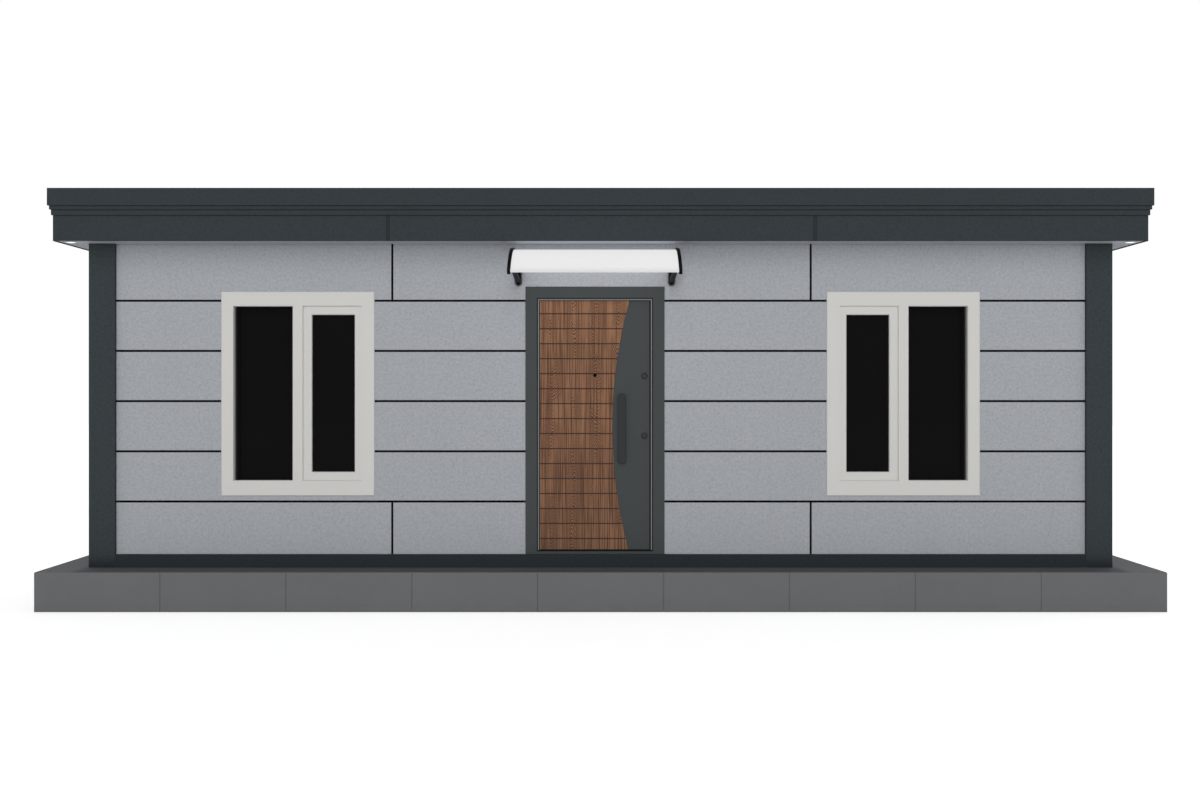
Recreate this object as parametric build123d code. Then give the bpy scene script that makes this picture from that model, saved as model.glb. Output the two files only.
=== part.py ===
from build123d import *
from math import atan2, cos, degrees, hypot, radians, sin, sqrt
import os

# A container house on its plinth, in millimetres. The origin is the centre of
# the plinth's underside, +Z is up and the front wall faces -Y.

# Module, measured over the corner posts
module_length = 8000
module_depth = 3000

# Plinth
plinth_height = 304
plinth_reach = 310
plinth_bay = 957
plinth_edge = 6
bay_groove = 7

# Floor
rail_height = 102
rail_gauge = 8
joist_spacing = 600
joist_width = 50
deck_thickness = 22

# Walls, from the outside in
post_width = 204
post_proud = 38
post_edge = 2
board_thickness = 16
core_thickness = 100
wall_height = 2430

# Joints between the outside boards
joint_width = 17
joint_recess = 5
lowest_joint = 411
joint_pitch = 393.4
joint_rows = 5
upright_joints = (-1633, 1647)

# Windows
window_width = 1200
window_height = 1599
window_sill = 456
window_centre = 2372
window_proud = 10
window_side = 94
window_sash_side = 103
window_head = 111
window_foot = 117
window_mullion = 78
window_lip = 5
pane_recess = 88
pane_thickness = 20
sash_recess = 12
sash_depth = 60
sash_pane_recess = 33
sash_member = 70
sash_hinge_member = 53
sash_gap = 2
pane_stop = 12
handle_height = 742

# Door set
door_centre = -44
door_width = 1090
door_height = 2095
door_proud = 6
casing_width = 98.5
casing_head = 97
threshold_height = 30
lip_depth = 17
lip_overlap = 16
frame_depth = 94
seal_width = 8
seal_recess = 4
leaf_gap = 5
closing_gap = 9
leaf_core = 64
leaf_skin = 6

# Door facings
facing_hinge_side = 14.5
facing_closing_side = 19.5
facing_foot = 5
facing_head = 10
facing_joint = 3
facing_curve = 3690
facing_waist = 568
waist_height = 995
slat_pitch = 117.6
slat_groove = 5
slat_groove_depth = 2.5
first_slat = 122.5

# Door fittings, with heights above the threshold's foot
pull_width = 62
pull_length = 541
pull_bottom = 712
pull_offset = 209.5
pull_thickness = 16
pull_standoff = 42
pull_stem = 11
lock_offset = 388
lock_heights = (926, 1395)
lock_radius = 24
lock_thickness = 10
peephole_height = 1401
peephole_radius = 12.5
lever_length = 120
lever_radius = 9

# Hinges
hinge_radius = 8
hinge_pin = 5
hinge_standoff = 11
hinge_knuckle = 55
hinge_play = 0.3
hinge_leaf = 3
hinge_inset = 205
hinge_plate = 36

# Canopy over the door
canopy_width = 1256
canopy_reach = 600
canopy_drop = 212
canopy_radius = 1000
canopy_below_soffit = 47
sheet_thickness = 5
rib_width = 25
rib_rise = 12
rib_depth = 20
arm_width = 34
arm_depth = 28
bracket_width = 57
bracket_height = 284
bracket_plate = 12
bracket_rim = 9
bracket_pocket = 5
strut_depth = 20
canopy_rail = 24
canopy_rail_wall = 6

# Roof and eaves
eave_reach = 205
eave_height = 402
band_height = 193
moulding_heights = (4, 38, 4, 26, 4)
moulding_reaches = (-4, 11, 7, 22, 18)
cornice_reach = 34
fascia_thickness = 30
seam_width = 30
seam_depth = 6
soffit_thickness = 12
ceiling_thickness = 50
beam_height = 160
roof_fall = 0.02
roof_thickness = 50
roof_rib_pitch = 250
roof_rib_height = 30
roof_rib_foot = 70
roof_rib_top = 30
ridge_cap_reach = 160
ridge_cap_gauge = 4

# Eave lights
light_radius = 48
light_hole = 42
light_lens = 36
light_rim = 4
light_depth = 40

# Levels above the ground
rail_level = plinth_height
floor_level = rail_level + rail_height
soffit_level = floor_level + wall_height
roof_level = soffit_level + beam_height
window_level = floor_level + window_sill

# Distances from the module's centre lines
half_length = module_length / 2
half_depth = module_depth / 2
wall_build = board_thickness + core_thickness
post_leg = post_proud + wall_build
board_face = post_proud
core_face = post_proud + board_thickness
fascia_inside = eave_reach - fascia_thickness


def block(x, y, z):
    """A block between two limits on each axis."""
    size = [high - low for low, high in (x, y, z)]
    centre = [(high + low) / 2 for low, high in (x, y, z)]
    return Pos(*centre) * Box(*size)


def ring_block(x, y, z, sides, foot, head):
    """A frame in the XZ plane with its own side, foot and head widths."""
    opening = block((x[0] + sides, x[1] - sides), y, (z[0] + foot, z[1] - head))
    return block(x, y, z) - opening


def joined(shapes):
    """Keep pieces that don't touch as separate solids of one sub-part."""
    return Compound(children=[solid for shape in shapes for solid in shape.solids()])


def mirrored(shape):
    """The same shape on the other side of the house, left for right."""
    return mirror(shape, about=Plane.YZ)


def upright_cylinder(x, y, z, radius):
    """A round bar along Z between two heights."""
    return Pos(x, y, (z[0] + z[1]) / 2) * Cylinder(radius, z[1] - z[0])


def facing_cylinder(x, y, z, radius):
    """A round bar along Y between two depths."""
    turned = Rot(90, 0, 0) * Cylinder(radius, y[1] - y[0])
    return Pos(x, (y[0] + y[1]) / 2, z) * turned


# Plinth and floor


def plinth():
    half_x = half_length + plinth_reach
    half_y = half_depth + plinth_reach
    mass = block((-half_x, half_x), (-half_y, half_y), (0, plinth_height))
    mass = chamfer(mass.faces().sort_by(Axis.Z)[-1].edges(), plinth_edge)
    for half_run, half_reach, turn in ((half_x, half_y, 0), (half_y, half_x, 90)):
        bays = round(2 * half_run / plinth_bay)
        for bay in range(1, bays):
            place = -half_run + bay * 2 * half_run / bays
            for side in (-1, 1):
                cutter = Pos(place, side * half_reach, plinth_height / 2) * Rot(0, 0, 45)
                cutter *= Box(bay_groove, bay_groove, plinth_height)
                mass -= Rot(0, 0, turn) * cutter
    return mass


def channel_rail(half_run):
    """A channel with its back to the outside and its flanges turned in."""
    outside = -half_depth
    inside = -half_depth + post_leg
    rail = block((-half_run, half_run), (outside, inside), (rail_level, floor_level))
    hollow = block(
        (-half_run, half_run),
        (outside + rail_gauge, inside),
        (rail_level + rail_gauge, floor_level - rail_gauge),
    )
    return rail - hollow


def floor_rail_front():
    return channel_rail(half_length - post_width)


def floor_rail_side():
    """The left rail, made at the front and turned into place."""
    rail = Pos(0, half_depth, 0) * channel_rail(half_depth - post_width)
    return Pos(-half_length, 0, 0) * Rot(0, 0, -90) * rail


def floor_joists():
    half_y = half_depth - post_leg
    half_x = half_length - post_leg
    count = 2 * int((half_x - joist_width) / joist_spacing) + 1
    joists = []
    for index in range(count):
        centre = (index - (count - 1) / 2) * joist_spacing
        joists.append(
            block(
                (centre - joist_width / 2, centre + joist_width / 2),
                (-half_y, half_y),
                (rail_level, floor_level - deck_thickness),
            )
        )
    return joined(joists)


def floor_deck():
    half_x = half_length - post_leg
    half_y = half_depth - post_leg
    return block((-half_x, half_x), (-half_y, half_y), (floor_level - deck_thickness, floor_level))


def corner_post():
    """The front left post: an angle that holds the ends of two walls."""
    outer_x = (-half_length, -half_length + post_width)
    outer_y = (-half_depth, -half_depth + post_width)
    post = block(outer_x, outer_y, (rail_level, soffit_level))
    post -= block(
        (-half_length + post_leg, outer_x[1]),
        (-half_depth + post_leg, outer_y[1]),
        (rail_level, soffit_level),
    )
    corner = post.edges().filter_by(Axis.Z).group_by(Axis.X)[0].sort_by(Axis.Y)[0]
    return fillet(corner, post_edge)


# Openings in the front wall


def window_limits(side):
    """The left and right edges of the window on one side of the door."""
    centre = side * window_centre
    return (centre - window_width / 2, centre + window_width / 2)


def door_limits():
    return (door_centre - door_width / 2, door_centre + door_width / 2)


def front_openings(y):
    """Blocks that fill the door's and the windows' places between two depths."""
    fills = [block(door_limits(), y, (floor_level, floor_level + door_height))]
    for side in (-1, 1):
        z = (window_level, window_level + window_height)
        fills.append(block(window_limits(side), y, z))
    return fills


# Walls


def core_limits():
    return (-half_depth + core_face, -half_depth + post_leg)


def front_wall(x):
    """A stretch of the front wall's panel, cut through at its window."""
    y = core_limits()
    wall = block(x, y, (floor_level, soffit_level))
    for fill in front_openings(y):
        wall -= fill
    return wall


def front_wall_left():
    return front_wall((-half_length + post_width, door_limits()[0]))


def front_wall_right():
    return front_wall((door_limits()[1], half_length - post_width))


def front_wall_over_door():
    return block(door_limits(), core_limits(), (floor_level + door_height, soffit_level))


def back_wall():
    half_run = half_length - post_width
    return Rot(0, 0, 180) * block((-half_run, half_run), core_limits(), (floor_level, soffit_level))


def side_wall():
    """The left wall's panel."""
    half_run = half_depth - post_width
    y = (core_face, post_leg)
    wall = block((-half_run, half_run), y, (floor_level, soffit_level))
    return Pos(-half_length, 0, 0) * Rot(0, 0, -90) * wall


# Outside boards and the strips in their joints


def joint_bars(half_run, y, z_top, upright_places):
    """The bars that fill all joints of one wall, drawn facing -Y about X = 0."""
    bars = []
    for row in range(joint_rows):
        level = floor_level + lowest_joint + row * joint_pitch
        bars.append(block((-half_run, half_run), y, (level - joint_width / 2, level + joint_width / 2)))
    lowest = floor_level + lowest_joint
    highest = lowest + (joint_rows - 1) * joint_pitch
    for place in upright_places:
        for z in ((floor_level, lowest), (highest, z_top)):
            x = (place - joint_width / 2, place + joint_width / 2)
            bars.append(block(x, y, z))
    return bars


def wall_skin(half_run, face, upright_places, openings):
    """One wall's boards and strips, drawn facing -Y with the face at a given Y."""
    back = face + board_thickness
    boards = block((-half_run, half_run), (face, back), (floor_level, soffit_level))
    strips = None
    for bar in joint_bars(half_run, (face, back), soffit_level, upright_places):
        boards -= bar
    for bar in joint_bars(half_run, (face + joint_recess, back), soffit_level, upright_places):
        strips = bar if strips is None else strips + bar
    for fill in openings:
        boards -= fill
        strips -= fill
    return boards, strips


def front_skin():
    face = -half_depth + board_face
    openings = front_openings((face, face + board_thickness))
    return wall_skin(half_length - post_width, face, upright_joints, openings)


def back_skin():
    face = -half_depth + board_face
    pieces = wall_skin(half_length - post_width, face, upright_joints, [])
    return [Rot(0, 0, 180) * piece for piece in pieces]


def side_skin():
    """The left wall's boards and strips."""
    pieces = wall_skin(half_depth - post_width, board_face, (), [])
    return [Pos(-half_length, 0, 0) * Rot(0, 0, -90) * piece for piece in pieces]


# Windows, drawn for the left one: the sash is on the door's side


def window_front():
    return -half_depth + board_face - window_proud


def window_panes():
    """The limits in X of the fixed light and of the sash in the left window."""
    low, high = window_limits(-1)
    fixed = (low + window_side, -window_centre - window_mullion / 2)
    sash = (-window_centre + window_mullion / 2, high - window_sash_side)
    return fixed, sash


def window_opening_limits():
    return (window_level + window_foot, window_level + window_height - window_head)


def window_frame():
    front = window_front()
    back = -half_depth + post_leg
    z = window_opening_limits()
    fixed, sash = window_panes()
    frame = block(window_limits(-1), (front, back), (window_level, window_level + window_height))
    seat = front + pane_recess + pane_thickness
    sash_seat = front + sash_recess + sash_depth
    for x, stop_at in ((fixed, seat), (sash, sash_seat)):
        frame -= block(x, (front, stop_at), z)
        inner = (x[0] + pane_stop, x[1] - pane_stop)
        frame -= block(inner, (stop_at, back), (z[0] + pane_stop, z[1] - pane_stop))
    face = frame.faces().sort_by(Axis.Y)[0]
    return chamfer(face.outer_wire().edges(), window_lip)


def window_sash():
    fixed, x = window_panes()
    z = window_opening_limits()
    x = (x[0] + sash_gap, x[1] - sash_gap)
    z = (z[0] + sash_gap, z[1] - sash_gap)
    front = window_front() + sash_recess
    back = front + sash_depth
    member = sash_member - sash_gap
    sash = block(x, (front, back), z)
    seat = front + sash_pane_recess + pane_thickness
    inner_x = (x[0] + member, x[1] - sash_hinge_member + sash_gap)
    inner_z = (z[0] + member, z[1] - member)
    sash -= block(inner_x, (front, seat), inner_z)
    stop_x = (inner_x[0] + pane_stop, inner_x[1] - pane_stop)
    stop_z = (inner_z[0] + pane_stop, inner_z[1] - pane_stop)
    sash -= block(stop_x, (seat, back), stop_z)
    face = sash.faces().sort_by(Axis.Y)[0]
    return chamfer(face.inner_wires()[0].edges(), window_lip)


def window_pane_pair():
    """The fixed pane and the sash's pane of the left window."""
    fixed, sash = window_panes()
    z = window_opening_limits()
    front = window_front() + pane_recess
    fixed_pane = block(fixed, (front, front + pane_thickness), z)
    front = window_front() + sash_recess + sash_pane_recess
    x = (sash[0] + sash_member, sash[1] - sash_hinge_member)
    sash_pane = block(x, (front, front + pane_thickness), (z[0] + sash_member, z[1] - sash_member))
    return [fixed_pane, sash_pane]


def window_handle():
    """The inside catch on the sash's mullion side."""
    sash = window_panes()[1]
    level = window_level + handle_height
    back = window_front() + sash_recess + sash_depth
    centre = sash[0] + sash_member / 2
    base = block((centre - 14, centre + 14), (back, back + 10), (level - 45, level + 45))
    stem = facing_cylinder(centre, (back + 10, back + 30), level, 9)
    grip = block((centre - 11, centre + 58), (back + 30, back + 44), (level - 11, level + 11))
    grip = fillet(grip.edges().filter_by(Axis.Y), 8)
    return base + stem + grip


# Door set


def door_frame_front():
    return -half_depth + board_face - door_proud


def clear_opening():
    """The limits in X and Z of what the frame's lip leaves open."""
    x_low, x_high = door_limits()
    low = floor_level + threshold_height
    high = floor_level + door_height - casing_head
    return (x_low + casing_width, x_high - casing_width), (low, high)


def leaf_limits():
    """The leaf's limits in X and Z, behind the lip."""
    x, z = clear_opening()
    grow = lip_overlap - leaf_gap
    return (x[0] - grow, x[1] + lip_overlap - closing_gap), (z[0] - grow, z[1] + grow)


def leaf_front():
    """The plane of the leaf's facings."""
    return door_frame_front() + lip_depth + leaf_gap


def leaf_back():
    return leaf_front() + leaf_skin + leaf_core


def door_frame():
    front = door_frame_front()
    back = front + frame_depth
    x = door_limits()
    z = (floor_level, floor_level + door_height)
    lip = ring_block(x, (front, front + lip_depth), z, casing_width, threshold_height, casing_head)
    rebate_side = casing_width - lip_overlap
    rebate_head = casing_head - lip_overlap
    rebate_foot = threshold_height - lip_overlap
    jamb = ring_block(x, (front + lip_depth, back), z, rebate_side, rebate_foot, rebate_head)
    return lip + jamb


def door_seal():
    """The strip round the lip's inner edge, at both sides and the head."""
    front = door_frame_front() + seal_recess
    back = door_frame_front() + lip_depth - 1
    x, z = clear_opening()
    strip = block(x, (front, back), z)
    return strip - block((x[0] + seal_width, x[1] - seal_width), (front, back), (z[0], z[1] - seal_width))


def door_leaf():
    x, z = leaf_limits()
    return block(x, (leaf_front() + leaf_skin, leaf_back()), z)


def facing_limits():
    x, z = clear_opening()
    return (x[0] + facing_hinge_side, x[1] - facing_closing_side), (z[0] + facing_foot, z[1] - facing_head)


def facing_disc(gap):
    """The disc whose edge parts the timber facing from the steel one."""
    x, z = facing_limits()
    y = (leaf_front(), leaf_front() + leaf_skin)
    centre = x[0] + facing_waist + facing_curve
    return facing_cylinder(centre, y, floor_level + waist_height, facing_curve - gap)


def door_wood_panel():
    x, z = facing_limits()
    y = (leaf_front(), leaf_front() + leaf_skin)
    panel = block(x, y, z) - facing_disc(0)
    panel = panel.solids().sort_by(Axis.X)[0]
    level = floor_level + first_slat
    while level < z[1]:
        cut = (level - slat_groove / 2, level + slat_groove / 2)
        panel -= block(x, (y[0], y[0] + slat_groove_depth), cut)
        level += slat_pitch
    hole = facing_cylinder(door_centre, y, floor_level + peephole_height, peephole_radius)
    return panel - hole


def door_steel_panel():
    x, z = facing_limits()
    y = (leaf_front(), leaf_front() + leaf_skin)
    return block(x, y, z) & facing_disc(facing_joint)


def door_pull_handle():
    front = leaf_front()
    face = front - pull_standoff
    centre = door_centre + pull_offset
    z = (floor_level + pull_bottom, floor_level + pull_bottom + pull_length)
    x = (centre - pull_width / 2, centre + pull_width / 2)
    bar = block(x, (face, face + pull_thickness), z)
    bar = fillet(bar.edges().filter_by(Axis.Y), pull_width / 3)
    bar = chamfer(bar.faces().sort_by(Axis.Y)[0].edges(), pull_thickness / 5)
    for level in (z[0] + pull_width, z[1] - pull_width):
        bar += facing_cylinder(centre, (face + pull_thickness, front), level, pull_stem)
    return bar


def lock_cover(height):
    """A round cover on the leaf with a raised keyhole flap."""
    x = door_centre + lock_offset
    z = floor_level + height
    front = leaf_front()
    rose = facing_cylinder(x, (front - lock_thickness, front), z, lock_radius)
    rose = chamfer(rose.faces().sort_by(Axis.Y)[0].edges(), lock_thickness / 3)
    face = front - lock_thickness
    return rose + facing_cylinder(x, (face - 3, face), z, lock_radius / 3)


def door_fittings():
    y = (leaf_front() - 4, leaf_front() + leaf_skin)
    barrel = facing_cylinder(door_centre, y, floor_level + peephole_height, peephole_radius)
    barrel -= facing_cylinder(door_centre, (y[0], y[0] + 3), floor_level + peephole_height, peephole_radius / 2)
    return joined([barrel] + [lock_cover(height) for height in lock_heights])


def door_inner_handle():
    x = door_centre + lock_offset
    z = floor_level + lock_heights[0]
    back = leaf_back()
    rose = facing_cylinder(x, (back, back + lock_thickness), z, lock_radius)
    neck = facing_cylinder(x, (back + lock_thickness, back + 50), z, lever_radius)
    lever = Rot(0, 90, 0) * Cylinder(lever_radius, lever_length)
    lever = Pos(x - lever_length / 2 + lever_radius, back + 50, z) * lever
    turn = facing_cylinder(x, (back, back + lock_thickness), floor_level + lock_heights[1], lock_radius)
    grip = block((x - 4, x + 4), (back + lock_thickness, back + 28), (0, 34))
    turn += Pos(0, 0, floor_level + lock_heights[1] - 17) * grip
    return joined([rose + neck + lever, turn])


def hinge_axis():
    """The hinge line's place: in the gap beside the leaf, proud of its back."""
    x, z = leaf_limits()
    return x[0] - leaf_gap / 2, leaf_back() + hinge_standoff


def hinge_levels():
    """Where the three hinges part: near the leaf's foot and head, and between."""
    low, high = leaf_limits()[1]
    return low + hinge_inset, (low + high) / 2, high - hinge_inset


def hinges_frame_side():
    axis_x, axis_y = hinge_axis()
    plate_y = door_frame_front() + frame_depth
    hinges = []
    for z in hinge_levels():
        low = (z - hinge_knuckle, z - hinge_play / 2)
        knuckle = upright_cylinder(axis_x, axis_y, low, hinge_radius)
        pin = upright_cylinder(axis_x, axis_y, (z - hinge_play, z + hinge_knuckle - 5), hinge_pin)
        x = (axis_x - hinge_plate, axis_x)
        plate = block(x, (plate_y, axis_y + hinge_radius), low)
        plate -= block((x[0] - 1, axis_x - hinge_radius - 2), (plate_y + hinge_leaf, axis_y + hinge_radius + 1), low)
        plate -= upright_cylinder(axis_x, axis_y, low, hinge_radius)
        hinges.append(plate + knuckle + pin)
    return joined(hinges)


def hinges_leaf_side():
    axis_x, axis_y = hinge_axis()
    hinges = []
    for z in hinge_levels():
        high = (z + hinge_play / 2, z + hinge_knuckle)
        knuckle = upright_cylinder(axis_x, axis_y, high, hinge_radius)
        x = (axis_x, axis_x + hinge_plate)
        edge = leaf_limits()[0][0]
        plate = block((edge, x[1]), (leaf_back(), axis_y + hinge_radius), high)
        plate -= block(
            (axis_x + hinge_radius + 2, x[1] + 1),
            (leaf_back() + hinge_leaf, axis_y + hinge_radius + 1),
            high,
        )
        bore = upright_cylinder(axis_x, axis_y, (high[0], high[1] - 4), hinge_pin + hinge_play)
        hinges.append(plate + knuckle - bore)
    return joined(hinges)


# Canopy: every piece follows circles about one line


def canopy_circle():
    """The centre of the canopy's outer curve in Y and Z, and its two end angles."""
    wall_y = -half_depth + board_face
    top = soffit_level - canopy_below_soffit
    front_y = wall_y - canopy_reach
    low = top - canopy_drop
    chord = hypot(canopy_reach, canopy_drop)
    rise = sqrt(canopy_radius**2 - (chord / 2) ** 2)
    centre_y = (wall_y + front_y) / 2 + rise * canopy_drop / chord
    centre_z = (top + low) / 2 - rise * canopy_reach / chord
    back_angle = degrees(atan2(top - centre_z, wall_y - centre_y))
    front_angle = degrees(atan2(low - centre_z, front_y - centre_y))
    return centre_y, centre_z, back_angle, front_angle


def canopy_band(x, inner, outer, start, end):
    """A curved bar between two radii and two angles about the canopy's line."""
    centre_y, centre_z, back_angle, front_angle = canopy_circle()
    plane = Plane(origin=(x[0], centre_y, centre_z), x_dir=(0, 1, 0), z_dir=(1, 0, 0))
    far = CenterArc((0, 0), outer, start, end - start)
    near = CenterArc((0, 0), inner, start, end - start)
    outline = Curve() + [far, near, Line(far @ 0, near @ 0), Line(far @ 1, near @ 1)]
    return extrude(plane * make_face(outline), x[1] - x[0])


def canopy_limits():
    return (door_centre - canopy_width / 2, door_centre + canopy_width / 2)


def behind_wall():
    """A block inside the wall, which trims what runs up to its face."""
    x = canopy_limits()
    reach = 2 * rib_width
    face = -half_depth + board_face
    return block((x[0] - reach, x[1] + reach), (face, face + canopy_reach), (0, soffit_level))


def canopy_sheet():
    centre_y, centre_z, back_angle, front_angle = canopy_circle()
    inner = canopy_radius - sheet_thickness
    return canopy_band(canopy_limits(), inner, canopy_radius, back_angle - 1, front_angle) - behind_wall()


def canopy_rib():
    """The left end rib."""
    centre_y, centre_z, back_angle, front_angle = canopy_circle()
    edge = canopy_limits()[0]
    low = canopy_radius - sheet_thickness - rib_depth
    rib = canopy_band((edge - rib_width, edge), low, canopy_radius + rib_rise, back_angle - 2, front_angle + 0.5)
    return rib - behind_wall()


def canopy_bracket():
    """The left wall bracket: plate, curved arm under the sheet and lower strut."""
    centre_y, centre_z, back_angle, front_angle = canopy_circle()
    face = -half_depth + board_face
    left = canopy_limits()[0]
    x = (left, left + bracket_width)
    middle = (x[0] + x[1]) / 2
    top = soffit_level - canopy_below_soffit - sheet_thickness - arm_depth / 2
    foot = soffit_level - canopy_below_soffit - bracket_height
    radius = bracket_width / 2
    plate = block(x, (face - bracket_plate, face), (foot + radius, top))
    plate += facing_cylinder(middle, (face - bracket_plate, face), foot + radius, radius)
    pocket_y = (face - bracket_plate, face - bracket_plate + bracket_pocket)
    pocket_x = (x[0] + bracket_rim, x[1] - bracket_rim)
    plate -= block(pocket_x, pocket_y, (foot + radius, top - 2 * arm_depth))
    plate -= facing_cylinder(middle, pocket_y, foot + radius, radius - bracket_rim)
    under = canopy_radius - sheet_thickness
    arm_x = (middle - arm_width / 2, middle + arm_width / 2)
    stop = front_angle - degrees(canopy_rail / canopy_radius)
    arm = canopy_band(arm_x, under - arm_depth, under, back_angle - 2, stop) - behind_wall()
    tip_y = centre_y + (under - arm_depth) * cos(radians(stop))
    tip_z = centre_z + (under - arm_depth) * sin(radians(stop))
    root = foot + radius
    with_plane = Plane(origin=(arm_x[0], 0, 0), x_dir=(0, 1, 0), z_dir=(1, 0, 0))
    strut = Polyline(
        (face, root - strut_depth / 2),
        (tip_y, tip_z),
        (tip_y + strut_depth, tip_z + strut_depth),
        (face, root + strut_depth),
        close=True,
    )
    strut = extrude(with_plane * make_face(strut), arm_width)
    return plate + arm + strut - plate_trim(x)


def plate_trim(x):
    """What the bracket's plate must stay clear of: the sheet above it."""
    centre_y, centre_z, back_angle, front_angle = canopy_circle()
    inner = canopy_radius - sheet_thickness
    return canopy_band((x[0] - 1, x[1] + 1), inner, canopy_radius + rib_rise + 1, back_angle - 2, front_angle + 2)


def canopy_front_rail():
    centre_y, centre_z, back_angle, front_angle = canopy_circle()
    turn = degrees(canopy_rail / canopy_radius)
    low = canopy_radius - sheet_thickness - canopy_rail_wall
    high = canopy_radius + canopy_rail_wall
    rail = canopy_band(canopy_limits(), low, high, front_angle - turn, front_angle + turn / 4)
    return rail - canopy_sheet()


def canopy_back_rail():
    """The batten on the wall under the sheet's back edge, between the brackets."""
    face = -half_depth + board_face
    left, right = canopy_limits()
    centre_y, centre_z, back_angle, front_angle = canopy_circle()
    under = canopy_radius - sheet_thickness
    top = centre_z + sqrt(under**2 - (face - centre_y) ** 2)
    batten = block((left + bracket_width, right - bracket_width), (face - canopy_rail, face), (top - canopy_rail, top))
    return batten & canopy_band((left, right), under - 2 * canopy_rail, under, back_angle - 2, front_angle)


# Roof, eaves and lights


def roof_underside(distance):
    """The roof panels' underside, at a distance from the ridge."""
    run = half_depth - core_face
    return roof_level + roof_fall * (run - distance)


def under_roof(y_limit):
    """The space below both roof slopes, as wide as the eaves."""
    half_x = half_length + eave_reach
    points = [(-y_limit, soffit_level), (-y_limit, roof_underside(y_limit)), (0, roof_underside(0))]
    points += [(y_limit, roof_underside(y_limit)), (y_limit, soffit_level)]
    plane = Plane(origin=(-half_x, 0, 0), x_dir=(0, 1, 0), z_dir=(1, 0, 0))
    return extrude(plane * make_face(Polyline(*points, close=True)), 2 * half_x)


def roof_beam_front():
    half_x = half_length - core_face
    top = roof_underside(0)
    beam = block((-half_x, half_x), core_limits(), (soffit_level, top))
    return beam & under_roof(half_depth)


def roof_beam_left():
    half_y = half_depth - post_leg
    x = (-half_length + core_face, -half_length + post_leg)
    beam = block(x, (-half_y, half_y), (soffit_level, roof_underside(0)))
    return beam & under_roof(half_depth)


def ceiling_panel():
    half_x = half_length - post_leg
    half_y = half_depth - post_leg
    z = (soffit_level, soffit_level + ceiling_thickness)
    return block((-half_x, half_x), (-half_y, half_y), z)


def roof_panel_front():
    """One slope: a flat-backed panel with raised ribs that run down the fall."""
    half_x = half_length + fascia_inside
    run = half_depth + fascia_inside
    plane = Plane(origin=(0, -run, roof_underside(run)), x_dir=(1, 0, 0), z_dir=(0, -1, 0))
    outline = Pos(0, roof_thickness / 2) * Rectangle(2 * half_x, roof_thickness)
    gaps = int(2 * (half_x - roof_rib_foot) / roof_rib_pitch)
    for index in range(gaps + 1):
        centre = (index - gaps / 2) * roof_rib_pitch
        points = [
            (centre - roof_rib_foot / 2, roof_thickness),
            (centre - roof_rib_top / 2, roof_thickness + roof_rib_height),
            (centre + roof_rib_top / 2, roof_thickness + roof_rib_height),
            (centre + roof_rib_foot / 2, roof_thickness),
        ]
        outline += make_face(Polyline(*points, close=True))
    slope = hypot(run, run * roof_fall)
    return extrude(plane * outline, slope, dir=(0, run / slope, run * roof_fall / slope))


def roof_ridge_cap():
    half_x = half_length + fascia_inside
    low = roof_underside(ridge_cap_reach) + roof_thickness + roof_rib_height
    high = roof_underside(0) + roof_thickness + roof_rib_height
    gauge = ridge_cap_gauge
    points = [(-ridge_cap_reach, low), (0, high), (ridge_cap_reach, low)]
    points += [(ridge_cap_reach, low + gauge), (0, high + gauge), (-ridge_cap_reach, low + gauge)]
    plane = Plane(origin=(-half_x, 0, 0), x_dir=(0, 1, 0), z_dir=(1, 0, 0))
    return extrude(plane * make_face(Polyline(*points, close=True)), 2 * half_x)


def eave_ring(reach, z):
    """A level band round the eaves, from the fascia's inside out to a reach."""
    outer_x = half_length + eave_reach + reach
    outer_y = half_depth + eave_reach + reach
    inner_x = half_length + fascia_inside
    inner_y = half_depth + fascia_inside
    band = block((-outer_x, outer_x), (-outer_y, outer_y), z)
    return band - block((-inner_x, inner_x), (-inner_y, inner_y), z)


def eave_bands():
    """The whole stepped fascia, as one ring."""
    level = soffit_level + band_height
    ring = eave_ring(0, (soffit_level, level))
    for height, reach in zip(moulding_heights, moulding_reaches):
        ring += eave_ring(reach, (level, level + height))
        level += height
    top = soffit_level + eave_height
    return ring + eave_ring(cornice_reach, (level, top))


def mitre_wedge(half_run, half_reach, turn):
    """The share of the eaves that belongs to one side, cut at 45 degrees."""
    spare = 2 * cornice_reach
    run = half_run + spare
    reach = half_reach + spare
    depth = eave_reach
    points = [(-run, -reach), (run, -reach), (run - depth, -reach + depth), (depth - run, -reach + depth)]
    wedge = extrude(make_face(Polyline(*points, close=True)), eave_height)
    return Rot(0, 0, turn) * Pos(0, 0, soffit_level) * wedge


def seams(half_reach, places):
    """The upright seams in a fascia's lower band, drawn for the front."""
    cuts = []
    face = -half_reach
    z = (soffit_level, soffit_level + band_height)
    for place in places:
        x = (place - seam_width / 2, place + seam_width / 2)
        cuts.append(block(x, (face, face + seam_depth), z))
    return cuts


def fascia_front():
    half_x = half_length + eave_reach
    half_y = half_depth + eave_reach
    fascia = eave_bands() & mitre_wedge(half_x, half_y, 0)
    for cut in seams(half_y, upright_joints):
        fascia -= cut
    return fascia


def fascia_left():
    half_x = half_length + eave_reach
    half_y = half_depth + eave_reach
    return eave_bands() & mitre_wedge(half_y, half_x, -90)


def light_places():
    x = half_length + eave_reach / 2
    y = half_depth + eave_reach / 2
    return [(side_x * x, side_y * y) for side_x in (-1, 1) for side_y in (-1, 1)]


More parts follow.
